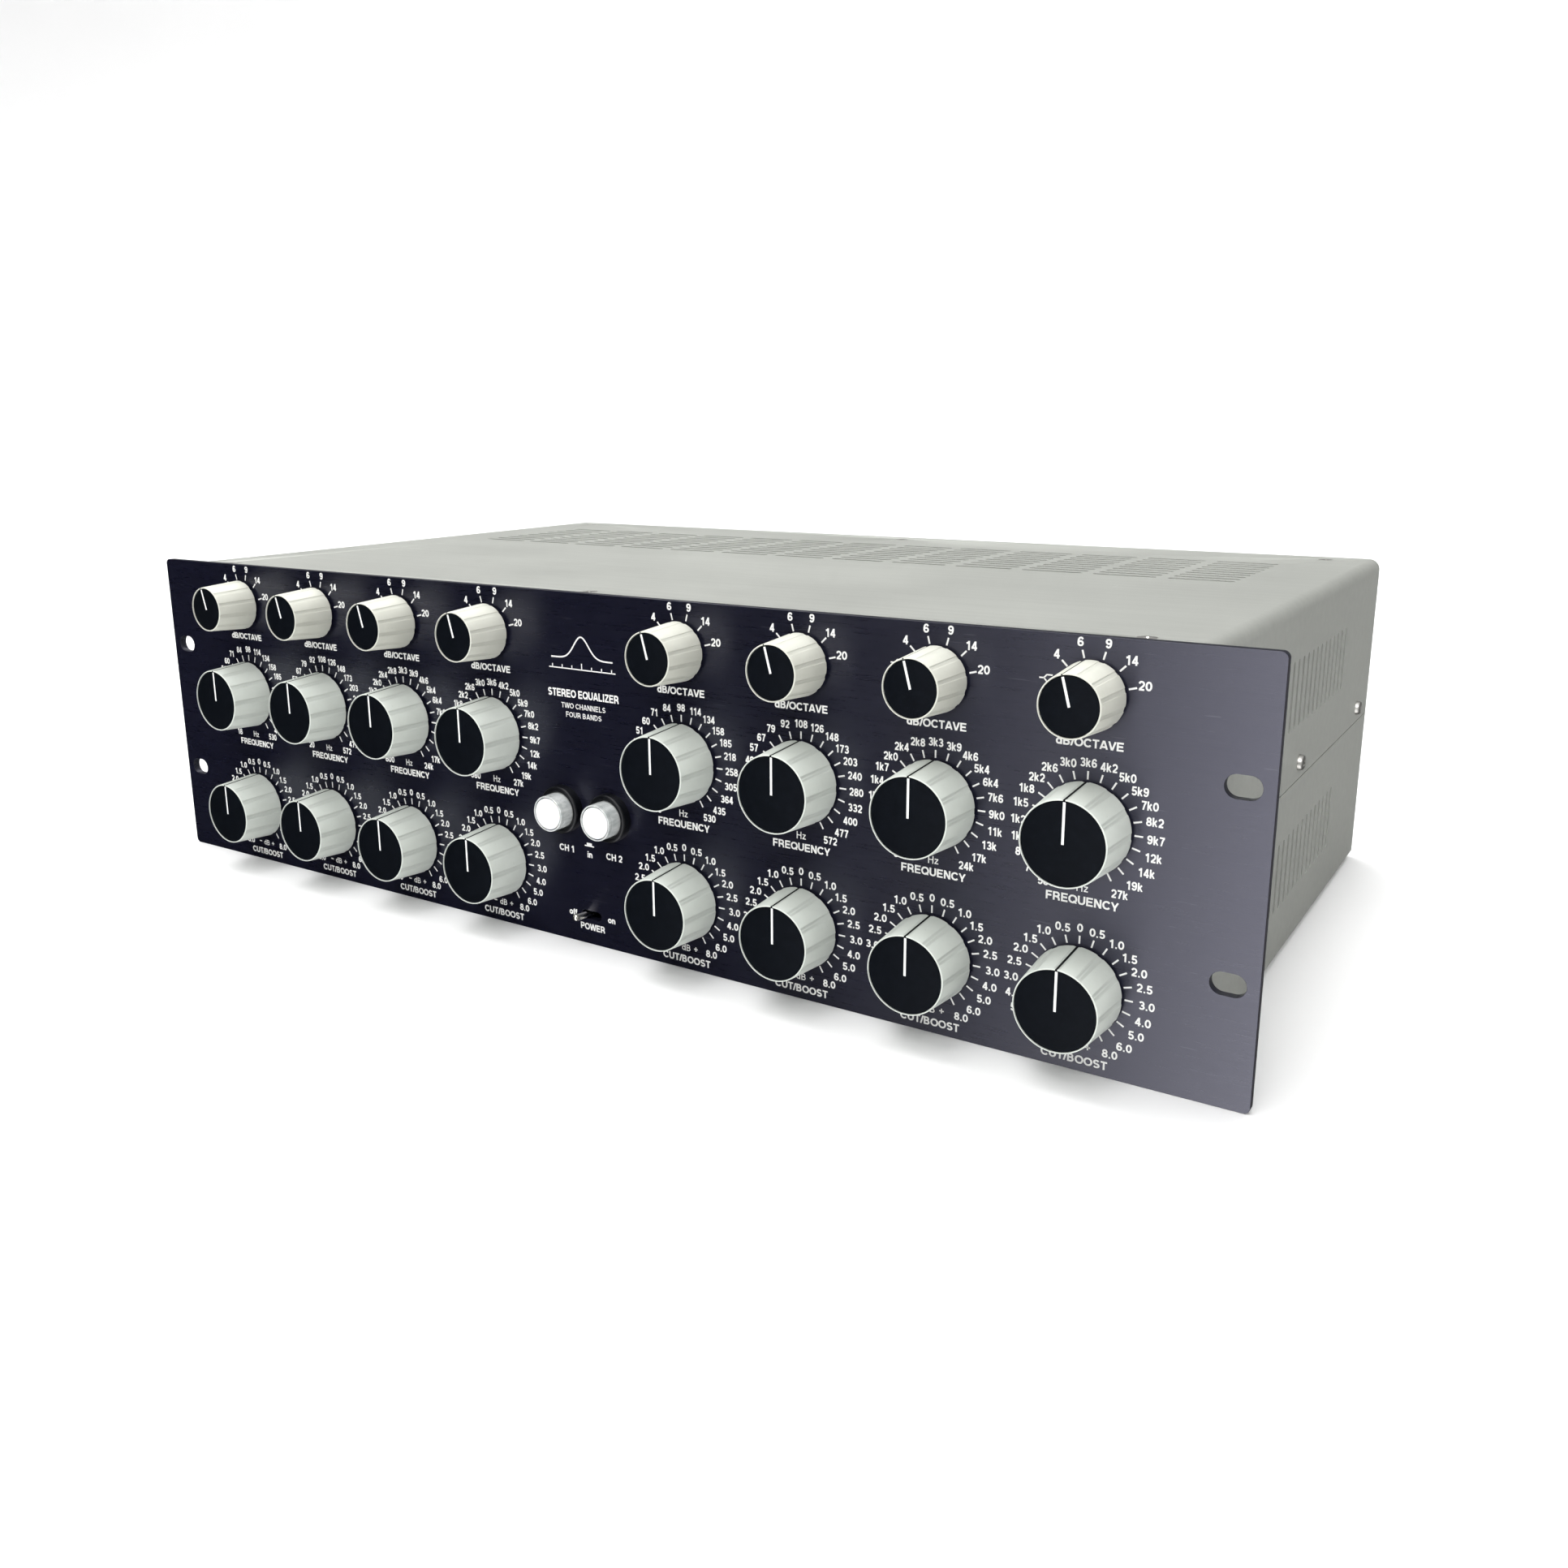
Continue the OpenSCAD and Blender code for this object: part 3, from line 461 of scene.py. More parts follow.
ink = screen_ink()
for channel in (1, 2):
    scales = Print(front_y, -1)
    for band in (1, 2, 3, 4):
        stem = f"ch{channel}_band{band}_"
        x, z = middle_of(stem + "slope_knob")
        tick_ring(scales, x, z, slope_angles[1:], 10.8, 13.2, 0.55)
        number_ring(scales, x, z, slope_angles[1:], slope_marks, 2.75, slope_across, slope_up)
        scales.word("dB/OCTAVE", x, z - 13.9, 2.6, 19.9)
        scales.bar(x - 15.9, z + 3.7, x - 14.4, z + 3.7, 0.42)
        for way in (1, -1):
            scales.bar(x - 14.5, z + 3.7, x - 13.6, z + 3.7 + way * 1.0, 0.42)
            scales.bar(x - 13.7, z + 3.7 + way * 0.95, x - 11.9, z + 3.7 + way * 0.95, 0.42)
        x, z = middle_of(stem + "frequency_knob")
        tick_ring(scales, x, z, dial_angles, 14.5, 17.0, 0.52)
        number_ring(scales, x, z, dial_angles, frequency_marks[band - 1].split(), 2.65,
                    frequency_across, dial_up, 0.90)
        scales.word("Hz", x, z - 18.3, 2.5, pen=0.13)
        scales.word("FREQUENCY", x, z - 22.3, 2.7, 22.0)
        x, z = middle_of(stem + "gain_knob")
        tick_ring(scales, x, z, dial_angles, 14.5, 17.0, 0.52)
        number_ring(scales, x, z, dial_angles, gain_marks, 2.65, dial_across, dial_up)
        scales.word("dB", x, z - 18.0, 2.5, pen=0.13)
        scales.bar(x - 5.0, z - 17.9, x - 3.5, z - 17.9, 0.4)
        scales.bar(x + 3.4, z - 17.9, x + 5.0, z - 17.9, 0.4)
        scales.bar(x + 4.2, z - 18.7, x + 4.2, z - 17.1, 0.4)
        scales.word("CUT/BOOST", x, z - 22.4, 2.7, 20.7)
    scales.piece(f"ch{channel}_scales", ink, "panel_anodised")

captions = Print(front_y, -1)
button_x = [middle_of(f"ch{channel}_in_button")[0] for channel in (1, 2)]
button_z = middle_of("ch1_in_button")[1]
centre_x = sum(button_x) / 2
captions.word("CH 1", button_x[0] + 0.5, button_z - 15.4, 2.6)
captions.word("CH 2", button_x[1] + 0.8, button_z - 15.4, 2.6)
captions.word("in", centre_x + 0.4, button_z - 16.2, 2.4)
captions.bar(centre_x - 1.9, button_z - 12.9, centre_x + 2.5, button_z - 12.9, 0.45)
captions.bar(centre_x - 0.9, button_z - 12.2, centre_x + 1.5, button_z - 12.2, 1.0)
captions.word("off", centre_x - 8.9, -54.9, 2.4)
captions.word("on", centre_x + 9.7, -54.9, 2.4)
captions.word("POWER", centre_x + 0.4, -59.5, 2.6, 11.6)
captions.word("STEREO EQUALIZER", centre_x, 29.4, 2.9, 33.0)
captions.word("TWO CHANNELS", centre_x, 24.9, 2.0, pen=0.14)
captions.word("FOUR BANDS", centre_x, 21.6, 2.0, pen=0.14)
bell = np.linspace(-15, 15, 41)
curve_z = 42.5 + 8.0 * np.exp(-(bell / 5.0) ** 2)
for x0, z0, x1, z1 in zip(bell[:-1], curve_z[:-1], bell[1:], curve_z[1:]):
    captions.bar(centre_x + x0 * 0.95, z0, centre_x + x1 * 0.95 + 0.08, z1, 0.55)
captions.bar(centre_x - 15.5, 38.6, centre_x + 15.5, 38.6, 0.4)
for step in range(-3, 4):
    captions.bar(centre_x + step * 4.6, 38.6, centre_x + step * 4.6, 39.9 if step else 40.9, 0.4)
captions.piece("captions", ink, "panel_anodised")


# ---------------------------------------------------------------- rotary controls
# Each knob is a fluted grey nylon shell on a brass collet, which grips a 6 mm steel shaft. A black
# cap with a white line snaps into its front, and a black line runs down the shell to the panel.

def knob_grey(name, light, dark):
    """Grey moulded nylon: fine matt grain, slight clouding, faint dirt."""
    nylon = Finish(name, {"Specular IOR Level": 0.45})
    clouds = nylon.noise(120, 4, 0.6)
    specks = nylon.noise(1500, 2, 0.5).above(0.70, 0.05)
    tone = nylon.mix(clouds, dark, light)
    return nylon.varying(base_color=nylon.mix(specks * 0.25, tone, (0.30, 0.30, 0.28)),
                         roughness=0.38 + clouds * 0.14,
                         normal=nylon.bump(nylon.noise(5000, 2), 0.10, 0.0001))


def cap_black():
    """Black moulded cap with a spark-eroded grain."""
    cap = Finish("cap_black", {"Specular IOR Level": 0.06})
    grain = cap.noise(3800, 2, 0.6)
    tone = cap.mix(cap.noise(300, 3), (0.0012, 0.0022, 0.0040), (0.0030, 0.0045, 0.0075))
    return cap.varying(base_color=tone,
                       roughness=0.42 + grain * 0.2, normal=cap.bump(grain, 0.35, 0.0001))


def line_paint(name, colour, rough, gloss=0.4):
    """Filled line: paint with a slightly uneven surface."""
    paint = Finish(name, {"Specular IOR Level": gloss})
    cover = paint.noise(1200, 3)
    pale = tuple(min(1.0, c * 1.12 + 0.004) for c in colour)
    return paint.varying(base_color=paint.mix(cover, colour, pale), roughness=rough + cover * 0.15)


def turned_metal(name, colour, rough, scratch=0.10):
    """Plated or machined metal with fine turning marks and light tarnish."""
    metal = Finish(name, {"Metallic": 1.0})
    tarnish = metal.noise(180, 4, 0.6)
    marks = metal.noise(6000, 2)
    dull = tuple(c * 0.72 for c in colour)
    return metal.varying(base_color=metal.mix(tarnish, dull, colour), roughness=rough + tarnish * 0.12,
                         normal=metal.bump(marks, scratch, 0.00005))


def out_of_panel(x, z, angle=0.0):
    """Maps points (across, up, out) of a piece on the panel to the frame, turned clockwise by angle."""
    s, c = math.sin(math.radians(angle)), math.cos(math.radians(angle))

    def placed(points):
        u, v, h = points.T
        return np.stack([x * MM + u * c + v * s, front_y - h, z * MM - u * s + v * c], 1)
    return placed


def grid_mesh(name, points, around, closed_profile, placed, face_material=None):
    """A mesh from a grid of points (profile steps, around steps, 3), closed round the axis. Rows on
    the axis become single points, and all faces are turned outwards."""
    rows = points.shape[0]
    i, j = np.meshgrid(np.arange(rows if closed_profile else rows - 1), np.arange(around), indexing="ij")
    below, beside = (i + 1) % rows, (j + 1) % around
    faces = np.stack([i * around + j, below * around + j, below * around + beside, i * around + beside], -1)
    mesh = bpy.data.meshes.new(name)
    mesh.from_pydata(placed(points.reshape(-1, 3)), [], faces.reshape(-1, 4).tolist())
    if face_material is not None:
        mesh.polygons.foreach_set("material_index", face_material(i, j).ravel().astype(np.int32))
    shape = bmesh.new()
    shape.from_mesh(mesh)
    bmesh.ops.remove_doubles(shape, verts=shape.verts, dist=1e-7)
    bmesh.ops.recalc_face_normals(shape, faces=shape.faces)
    for face in shape.faces:
        face.smooth = True
    shape.to_mesh(mesh)
    shape.free()
    mesh.set_sharp_from_angle(angle=math.radians(38))
    return mesh


def turned(name, profile, placed, around=64, closed_profile=False, face_material=None, flute=None):
    """A turned shape: profile (radius, height) in millimetres carried round the axis. flute(angle,
    height) is taken off the radius where it is given."""
    r, h = np.asarray(profile, float).T * MM
    angle = np.arange(around) * 2 * np.pi / around if isinstance(around, int) else np.radians(around)
    radius = np.repeat(r[:, None], len(angle), 1)
    if flute:
        radius = radius - flute(angle[None, :], h[:, None] / MM, r[:, None] / MM) * MM
    points = np.stack([radius * np.sin(angle), radius * np.cos(angle),
                       np.repeat(h[:, None], len(angle), 1)], -1)
    return grid_mesh(name, points, len(angle), closed_profile, placed, face_material)


def rounded(profile, radii, steps=4):
    """A closed or open profile whose corners are rounded: corner k gets an arc of radii[k], drawn as a
    quadratic curve between the two points at that distance from it."""
    profile = [np.array(p, float) for p in profile]
    made = [profile[0]]
    for before, corner, after, radius in zip(profile, profile[1:], profile[2:], radii[1:]):
        if not radius:
            made.append(corner)
            continue
        a = corner + (before - corner) / np.linalg.norm(before - corner) * radius
        b = corner + (after - corner) / np.linalg.norm(after - corner) * radius
        made += [(1 - t) ** 2 * a + 2 * t * (1 - t) * corner + t * t * b
                 for t in np.linspace(0, 1, steps + 1)]
    return made + [profile[-1]]


knob_gap, knob_top = 1.2, 18.4
flutes = 12
flute_half = 3.9                # degrees from the middle of a flute to its edge
flute_depth = 0.17
sector = 360 / flutes
flute_steps = np.array([-15, -11.5, -8, -5.4, -4.4, -3.6, -1.6, 0, 1.6, 3.6, 4.4, 5.4, 8, 11.5])
knob_angles = (np.arange(flutes)[:, None] * sector + flute_steps).ravel()
line_columns = (6, 7)           # grid columns between -1.6 and 1.6 degrees, round the top of the knob


def fluting(base):
    """Depth taken off the shell: shallow flat-bottomed channels, soft at their edges, on the wall
    only. Round each channel, depth goes from 0 to flute_depth as a smooth step of the angle."""
    def depth(angle, height, radius):
        off = np.abs((np.degrees(angle) + sector / 2) % sector - sector / 2)
        channel = np.clip((flute_half + 0.5 - off) / 1.0, 0, 1)
        channel = channel * channel * (3 - 2 * channel) * flute_depth
        wall = (radius > base / 2 - 2.1) & (height < knob_top - 0.35)
        return np.where(wall, channel, 0)
    return depth


def knob_shell(base, rim, cap):
    """Profile of the shell, from the skirt's inner edge round the outside to the bore."""
    skirt, seat = base / 2 - 2.2, knob_top - 1.5      # inside of the wall; the floor under the cap
    web, collar, bore = 5.0, 5.8, 4.6                 # height of the web; radii round the collet
    outline = [(skirt, web), (skirt, knob_gap), (base / 2, knob_gap), (rim / 2, knob_top),
               (cap / 2 + 0.15, knob_top), (cap / 2 + 0.15, seat), (collar, seat), (collar, seat - 2.4),
               (bore, seat - 2.4), (bore, web), (skirt, web)]
    corner = [0, 0.2, 0.35, 0.42, 0.12, 0, 0, 0, 0, 0, 0]
    return rounded(outline, corner)[:-1]


def make_knob(stem, base, rim, cap, angle, shell_coat):
    """Shell, cap, pointer line and collet with shaft of one knob."""
    node = stem + "_knob"
    placed = out_of_panel(*middle_of(node), angle)
    profile = knob_shell(base, rim, cap)
    heights = np.array(profile)
    outer = (heights[:, 0] > cap / 2 - 0.1) & (heights[:, 1] >= knob_gap)

    def inked(i, j):
        here = outer[i] & outer[(i + 1) % len(profile)]
        column = (j == line_columns[0]) | (j == line_columns[1])
        return here & column

    shell = put_in_scene(stem + "_shell",
                         turned(stem + "_shell", profile, placed, knob_angles, True, inked, fluting(base)),
                         [shell_coat, index_paint], stem)
    face = knob_top - 0.3
    disc = rounded([(0, knob_top - 1.45), (cap / 2, knob_top - 1.45), (cap / 2, face), (0, face)],
                   [0, 0.1, 0.3, 0])
    put_in_scene(stem + "_cap", turned(stem + "_cap", disc, placed, 72), [cap_coat], stem)
    half, low, high = 0.38 * MM, (face - 0.3) * MM, (face + 0.035) * MM
    start, end = -0.2 * MM, (cap / 2 - 0.35) * MM
    corners = np.array([(u, v, h) for h in (low, high) for u, v in
                        ((-half, start), (half, start), (half, end), (-half, end))])
    mesh = bpy.data.meshes.new(stem + "_pointer")
    mesh.from_pydata(placed(corners), [], [(3, 2, 1, 0), (4, 5, 6, 7), (0, 1, 5, 4), (1, 2, 6, 5),
                                           (2, 3, 7, 6), (3, 0, 4, 7)])
    put_in_scene(stem + "_pointer", mesh, [pointer_paint], stem)
    shaft = [(0, -17.0), (3.0, -17.0), (3.0, -14.0), (9.0, -14.0), (9.0, -12.0), (3.0, -12.0), (3.0, 5.2),
             (4.5, 5.2), (4.5, knob_top - 3.9), (5.4, knob_top - 3.8), (5.4, knob_top - 1.9),
             (0, knob_top - 1.9)]
    put_in_scene(stem + "_shaft", turned(stem + "_shaft", shaft, placed, 32), [brass], stem)
    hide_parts(node)


cool_shell = knob_grey("knob_grey", (0.70, 0.74, 0.69), (0.60, 0.635, 0.585))
warm_shell = knob_grey("knob_grey_warm", (0.68, 0.685, 0.615), (0.58, 0.585, 0.515))
cap_coat = cap_black()
index_paint = line_paint("index_paint", (0.002, 0.002, 0.0025), 0.5, 0.08)
pointer_paint = line_paint("pointer_paint", (0.86, 0.87, 0.86), 0.35)
brass = turned_metal("collet_brass", (0.78, 0.58, 0.26), 0.28)
nickel = turned_metal("nut_nickel", (0.70, 0.69, 0.66), 0.25)
for channel in (1, 2):
    for band in (1, 2, 3, 4):
        stem = f"ch{channel}_band{band}_"
        make_knob(stem + "slope", 20.8, 18.5, 17.4, -15.0, warm_shell)
        make_knob(stem + "frequency", 28.4, 26.0, 25.0, 0.0, cool_shell)
        make_knob(stem + "gain", 28.4, 26.0, 25.0, 0.0, cool_shell)
folded_copy("bushing_nuts", "bushing_nut_set", nickel, 0.12 * MM)


# ---------------------------------------------------------------- push buttons
# Two sprung push buttons switch the channels in. Each has a white lens with a faint painted glow, in a
# clear moulded ring that glows faintly too, and slides in a glossy black bezel.

def painted_glow_lens():
    """White diffusing lens with a faint painted glow (emission) for its brightness, its tone varied by haze.
    """
    lens = Finish("button_white", {"Specular IOR Level": 0.5, "Emission Strength": 0.16,
                                   "Subsurface Weight": 0.2, "Subsurface Scale": 0.002})
    haze = lens.noise(260, 3)
    return lens.varying(base_color=lens.mix(haze, (0.74, 0.74, 0.73), (0.80, 0.80, 0.79)),
                        emission_color=lens.mix(haze, (0.90, 0.91, 0.90), (1.0, 1.0, 1.0)),
                        roughness=0.28 + haze * 0.1)


def frosted_ring():
    """Frosted clear plastic that lets some light through, with a faint painted glow (emission)."""
    clear = Finish("lens_ring", {"Specular IOR Level": 0.6, "Emission Strength": 0.05,
                                 "Transmission Weight": 0.3, "IOR": 1.49})
    haze = clear.noise(1.0, 3, 0.6, (500, 140, 500))
    return clear.varying(base_color=clear.mix(haze.above(0.3, 0.4), (0.50, 0.53, 0.53), (0.82, 0.84, 0.83)),
                         emission_color=clear.mix(haze, (0.80, 0.84, 0.84), (0.95, 0.97, 0.97)),
                         roughness=0.12 + haze * 0.1)


def gloss_black(name, rough):
    """Black moulded plastic with faint moulding clouds."""
    plastic = Finish(name, {"Specular IOR Level": 0.22})
    clouds = plastic.noise(400, 3)
    return plastic.varying(base_color=plastic.mix(clouds, (0.0015, 0.0018, 0.0030), (0.0050, 0.0055, 0.0075)),
                           roughness=rough + clouds * 0.12,
                           normal=plastic.bump(plastic.noise(4200, 2), 0.06, 0.0001))


lens_white, ring_clear, bezel_black = painted_glow_lens(), frosted_ring(), gloss_black("bezel_black", 0.30)
lens_top, lens_r, bezel_r, bezel_top = 9.5, 6.7, 9.0, 3.6
groove = 7.3                    # height of the line round the ring
for channel in (1, 2):
    stem = f"ch{channel}_in"
    placed = out_of_panel(button_x[channel - 1], button_z)
    ring = rounded([(6.15, 1.0), (lens_r, 1.0), (lens_r, groove), (lens_r - 0.16, groove),
                    (lens_r - 0.16, groove + 0.22), (lens_r, groove + 0.22), (lens_r, lens_top - 0.2),
                    (6.15, lens_top - 0.2), (6.15, 1.0)], [0, 0.2, 0.05, 0, 0, 0.05, 0.28, 0.1, 0])[:-1]
    side = put_in_scene(stem + "_ring", turned(stem + "_ring", ring, placed, 72, True), [ring_clear],
                        stem)
    # A thin black ring inside the clear ring, seen in the gap round the lens: painted shade that darkens the
    # line between lens and ring.
    groove_shade_ring = [(5.9, 1.2), (6.13, 1.2), (6.13, lens_top - 0.5), (5.9, lens_top - 0.5)]
    put_in_scene(stem + "_seal", turned(stem + "_seal", groove_shade_ring, placed, 72, True), [bezel_black], stem)
    disc = rounded([(0, 0.6), (5.85, 0.6), (5.85, lens_top - 0.2), (3.5, lens_top), (0, lens_top)],
                   [0, 0.1, 0.3, 1.6, 0])
    put_in_scene(stem + "_lens", turned(stem + "_lens", disc, placed, 72), [lens_white], stem)
    stalk = [(0, -15.0), (3.2, -15.0), (3.2, 0.4), (0, 0.4)]
    put_in_scene(stem + "_stem", turned(stem + "_stem", stalk, placed, 24), [bezel_black], stem)
    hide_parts(stem + "_button")
    collar = rounded([(7.0, -12.0), (8.0, -12.0), (8.0, 0.0), (bezel_r, 0.0), (bezel_r, bezel_top),
                      (7.0, bezel_top), (7.0, -12.0)], [0, 0.2, 0, 0, 1.1, 0.5, 0])[:-1]
    bezel = put_in_scene(stem + "_bezel", turned(stem + "_bezel", collar, placed, 80, True), [bezel_black],
                         "chassis")
    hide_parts("button_bezels")


# ---------------------------------------------------------------- power switch
# A plated steel lever comes through a slot in the panel and turns on a pin in the switch behind it.

def bright_plate():
    """Bright nickel plate, lightly worn."""
    plate = Finish("lever_chrome", {"Metallic": 1.0})
    wear = plate.noise(420, 4, 0.6)
    return plate.varying(base_color=plate.mix(wear, (0.62, 0.60, 0.54), (0.83, 0.82, 0.78)),
                         roughness=0.10 + wear * 0.14)


chrome = bright_plate()
lever_tilt = math.radians(12)
lever_x, lever_z = middle_of("power_switch")
pivot_out = -12.2                  # the pin is this far behind the panel's face


def along_lever(points):
    """Maps (across, up, along) of the lever to the frame, tilted to the left about its pin."""
    u, v, w = points.T
    across = u * math.cos(lever_tilt) - w * math.sin(lever_tilt)
    out = u * math.sin(lever_tilt) + w * math.cos(lever_tilt) + pivot_out * MM
    return np.stack([lever_x * MM + across, front_y - out, lever_z * MM + v], 1)


arm = 18.4                         # from the pin to the tip
steps = np.linspace(0, 1, 9)
ball = [(2.6 * math.sin(a), -2.6 * math.cos(a)) for a in np.linspace(math.radians(24), math.radians(158), 12)]
shank = [(0.95 + 0.42 * (3 * t * t - 2 * t ** 3), 2.4 + (arm - 4.0) * t) for t in steps]
nose = [(1.37 * math.cos(a), arm - 1.37 + 1.37 * math.sin(a)) for a in np.linspace(0.15, math.pi / 2, 8)]
lever_profile = [(0, -6.0), (0.9, -6.0)] + ball + shank + nose[:-1] + [(0, arm)]
lever = put_in_scene("power_lever_bat", turned("power_lever_bat", lever_profile, along_lever, 40), [chrome],
                     "power")


def upright(points):
    """Maps (across, depth, up) of the hinge pin to the frame."""
    u, v, w = points.T
    return np.stack([lever_x * MM + u, front_y - pivot_out * MM + v, lever_z * MM + w], 1)


pin_profile = [(0, -5), (0.65, -5), (0.65, 5), (0, 5)]
put_in_scene("power_lever_pin", turned("power_lever_pin", pin_profile, upright, 24), [chrome], "power")
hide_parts("power_lever")


# ---------------------------------------------------------------- screws
# Countersunk and pan-head steel screws with a cross recess hold the cover, the rear panel and the
# mains inlet.

def cross_screw(head_profile, recess):
    """Points and faces of a screw along +Z with its head's top at z = 0, with a cross cut into it.
    head_profile is turned round the axis, and recess is (arm, width, depth) in millimetres."""
    mesh = turned("screw", head_profile, lambda points: points, 40)
    arm, width, depth = (v * MM for v in recess)
    cut = bpy.data.meshes.new("cross")
    corners, faces = [], []
    for a, b in ((arm, width), (width, arm)):
        base = len(corners)
        corners += [(s * a / 2 * k, t * b / 2 * k, h) for k, h in ((0.55, -depth), (1.0, 0.3 * depth))
                    for s, t in ((-1, -1), (1, -1), (1, 1), (-1, 1))]
        faces += [[base + i for i in f] for f in
                  ((3, 2, 1, 0), (4, 5, 6, 7), (0, 1, 5, 4), (1, 2, 6, 5), (2, 3, 7, 6), (3, 0, 4, 7))]
    cut.from_pydata(corners, [], faces)
    head, cross = (bpy.data.objects.new(m.name, m) for m in (mesh, cut))
    for item in (head, cross):
        bpy.context.scene.collection.objects.link(item)
    boolean = head.modifiers.new("recess", "BOOLEAN")
    boolean.object, boolean.operation, boolean.solver = cross, "DIFFERENCE", "EXACT"
    boolean.use_self = True
    made = bpy.data.meshes.new_from_object(head.evaluated_get(bpy.context.evaluated_depsgraph_get()))
    points = np.array([v.co for v in made.vertices])
    polygons = [list(p.vertices) for p in made.polygons]
    for item in (head, cross):
        bpy.data.objects.remove(item)
    return points, polygons


def screw_set(name, screw, places, node):
    """Copies one screw to places, each (position, outward direction, turn of the cross in degrees)."""
    points, polygons = screw
    all_points, all_faces = [], []
    for place, out, spin in places:
        out = np.array(out, float)
        side = np.cross(out, (0.0, 0.0, 1.0) if abs(out[2]) < 0.9 else (0.0, 1.0, 0.0))
        side /= np.linalg.norm(side)
        third = np.cross(out, side)
        s, c = math.sin(math.radians(spin)), math.cos(math.radians(spin))
        axes = np.stack([c * side + s * third, -s * side + c * third, out])
        all_faces += [[i + len(all_points) * len(points) for i in f] for f in polygons]
        all_points.append(points @ axes + np.array(place))
    mesh = bpy.data.meshes.new(name)
    mesh.from_pydata(np.concatenate(all_points), [], all_faces)
    mesh.polygons.foreach_set("use_smooth", np.ones(len(mesh.polygons), bool))
    mesh.set_sharp_from_angle(angle=math.radians(30))
    piece = put_in_scene(name, mesh, [zinc], "chassis")
    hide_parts(node)


zinc = turned_metal("screw_zinc", (0.62, 0.61, 0.58), 0.30)
flat_screw = cross_screw([(0, -7), (1.5, -7), (1.5, -1.6), (2.95, -0.05), (2.85, 0), (0, 0)],
                         (3.2, 0.75, 1.1))
pan_screw = cross_screw(rounded([(0, -8.9), (1.5, -8.9), (1.5, -1.9), (2.9, -1.9), (2.6, 0), (0, 0)],
                                [0, 0, 0, 0.1, 0.7, 0]), (3.4, 0.8, 1.2))
cover_low, cover_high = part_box("top_cover_screws")
cover_ys = (cover_low.y + 3 * MM, cover_high.y - 3 * MM)
screw_xs = (cover_low.x + 3 * MM, 0.0, cover_high.x - 3 * MM)
screw_set("cover_screw_set", flat_screw,
          [((x, y, cover_high.z), (0, 0, 1), 25 + 40 * i + 17 * k)
           for i, x in enumerate(screw_xs) for k, y in enumerate(cover_ys)], "top_cover_screws")
under_low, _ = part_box("rear_panel_screws")
screw_set("rear_screw_set", flat_screw,
          [((x, under_low.y + 3 * MM, under_low.z), (0, 0, -1), 10 + 30 * i)
           for i, x in enumerate(screw_xs)], "rear_panel_screws")
side_low, side_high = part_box("side_screws")
side_ys = [side_low.y + 2.9 * MM, 0.124, side_high.y - 2.9 * MM]
screw_set("side_screw_set", pan_screw,
          [((s * side_high.x, y, (side_low.z + side_high.z) / 2), (s, 0, 0), 35 * i + 12)
           for s in (-1, 1) for i, y in enumerate(side_ys)], "side_screws")
inlet_low, inlet_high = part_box("inlet_screws")
screw_set("inlet_screw_set", pan_screw,
          [((x, inlet_high.y, (inlet_low.z + inlet_high.z) / 2), (0, 1, 0), spin)
           for x, spin in ((inlet_low.x + 2.9 * MM, 20), (inlet_high.x - 2.9 * MM, 65))], "inlet_screws")


# ---------------------------------------------------------------- inside the case
# Switches, circuit boards, ribbon cables, power supply and transformer, seen through the vents.

def solder_mask():
    """Green circuit board: solder mask over copper tracks that show as slightly lighter paths."""
    board = Finish("board_green", {"Specular IOR Level": 0.5})
    tracks = board.node("ShaderNodeTexBrick", {"offset": 0.37}, {
        "Vector": board.place((1, 1, 1)), "Scale": 90.0, "Mortar Size": 0.035, "Color1": (0, 0, 0, 1),
        "Color2": (0, 0, 0, 1), "Mortar": (1, 1, 1, 1)})
    grain = board.noise(60, 4)
    return board.varying(base_color=board.mix(tracks * 0.5 + grain * 0.3, (0.010, 0.085, 0.030),
                                              (0.060, 0.200, 0.075)),
                         roughness=0.28 + grain * 0.15)


def wound_tape():
    """Yellow tape wound round the transformer's ring: overlapping bands seen as fine ridges, each band
    painted darker on its low side next to the step, as painted shade.
    """
    tape = Finish("winding_tape", {"Specular IOR Level": 0.5})
    low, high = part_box("transformer")
    coords = tape.node("ShaderNodeVectorMath", {"operation": "SUBTRACT"}, {
        0: tape.node("ShaderNodeTexCoord", out="Object"), 1: tuple((low + high) / 2)})
    bands = tape.node("ShaderNodeTexGradient", {"gradient_type": "RADIAL"}, {"Vector": coords}, out=1)
    ridge = tape.node("ShaderNodeMath", {"operation": "FRACT"}, {0: bands * 44})
    # The colour follows the ridge height, darker at the foot of each step: painted shade.
    return tape.varying(base_color=tape.mix(ridge, (0.46, 0.30, 0.04), (0.68, 0.48, 0.10)),
                        roughness=0.35 + ridge * 0.1, normal=tape.bump(ridge, 0.5, 0.0006))


def moulded(name, dark, light, rough, specular=0.5):
    """Moulded plastic, sleeve or rubber: slight clouds and a fine grain."""
    plastic = Finish(name, {"Specular IOR Level": specular})
    clouds = plastic.noise(150, 4)
    return plastic.varying(base_color=plastic.mix(clouds, dark, light), roughness=rough + clouds * 0.15,
                           normal=plastic.bump(plastic.noise(3000, 2), 0.08, 0.0001))


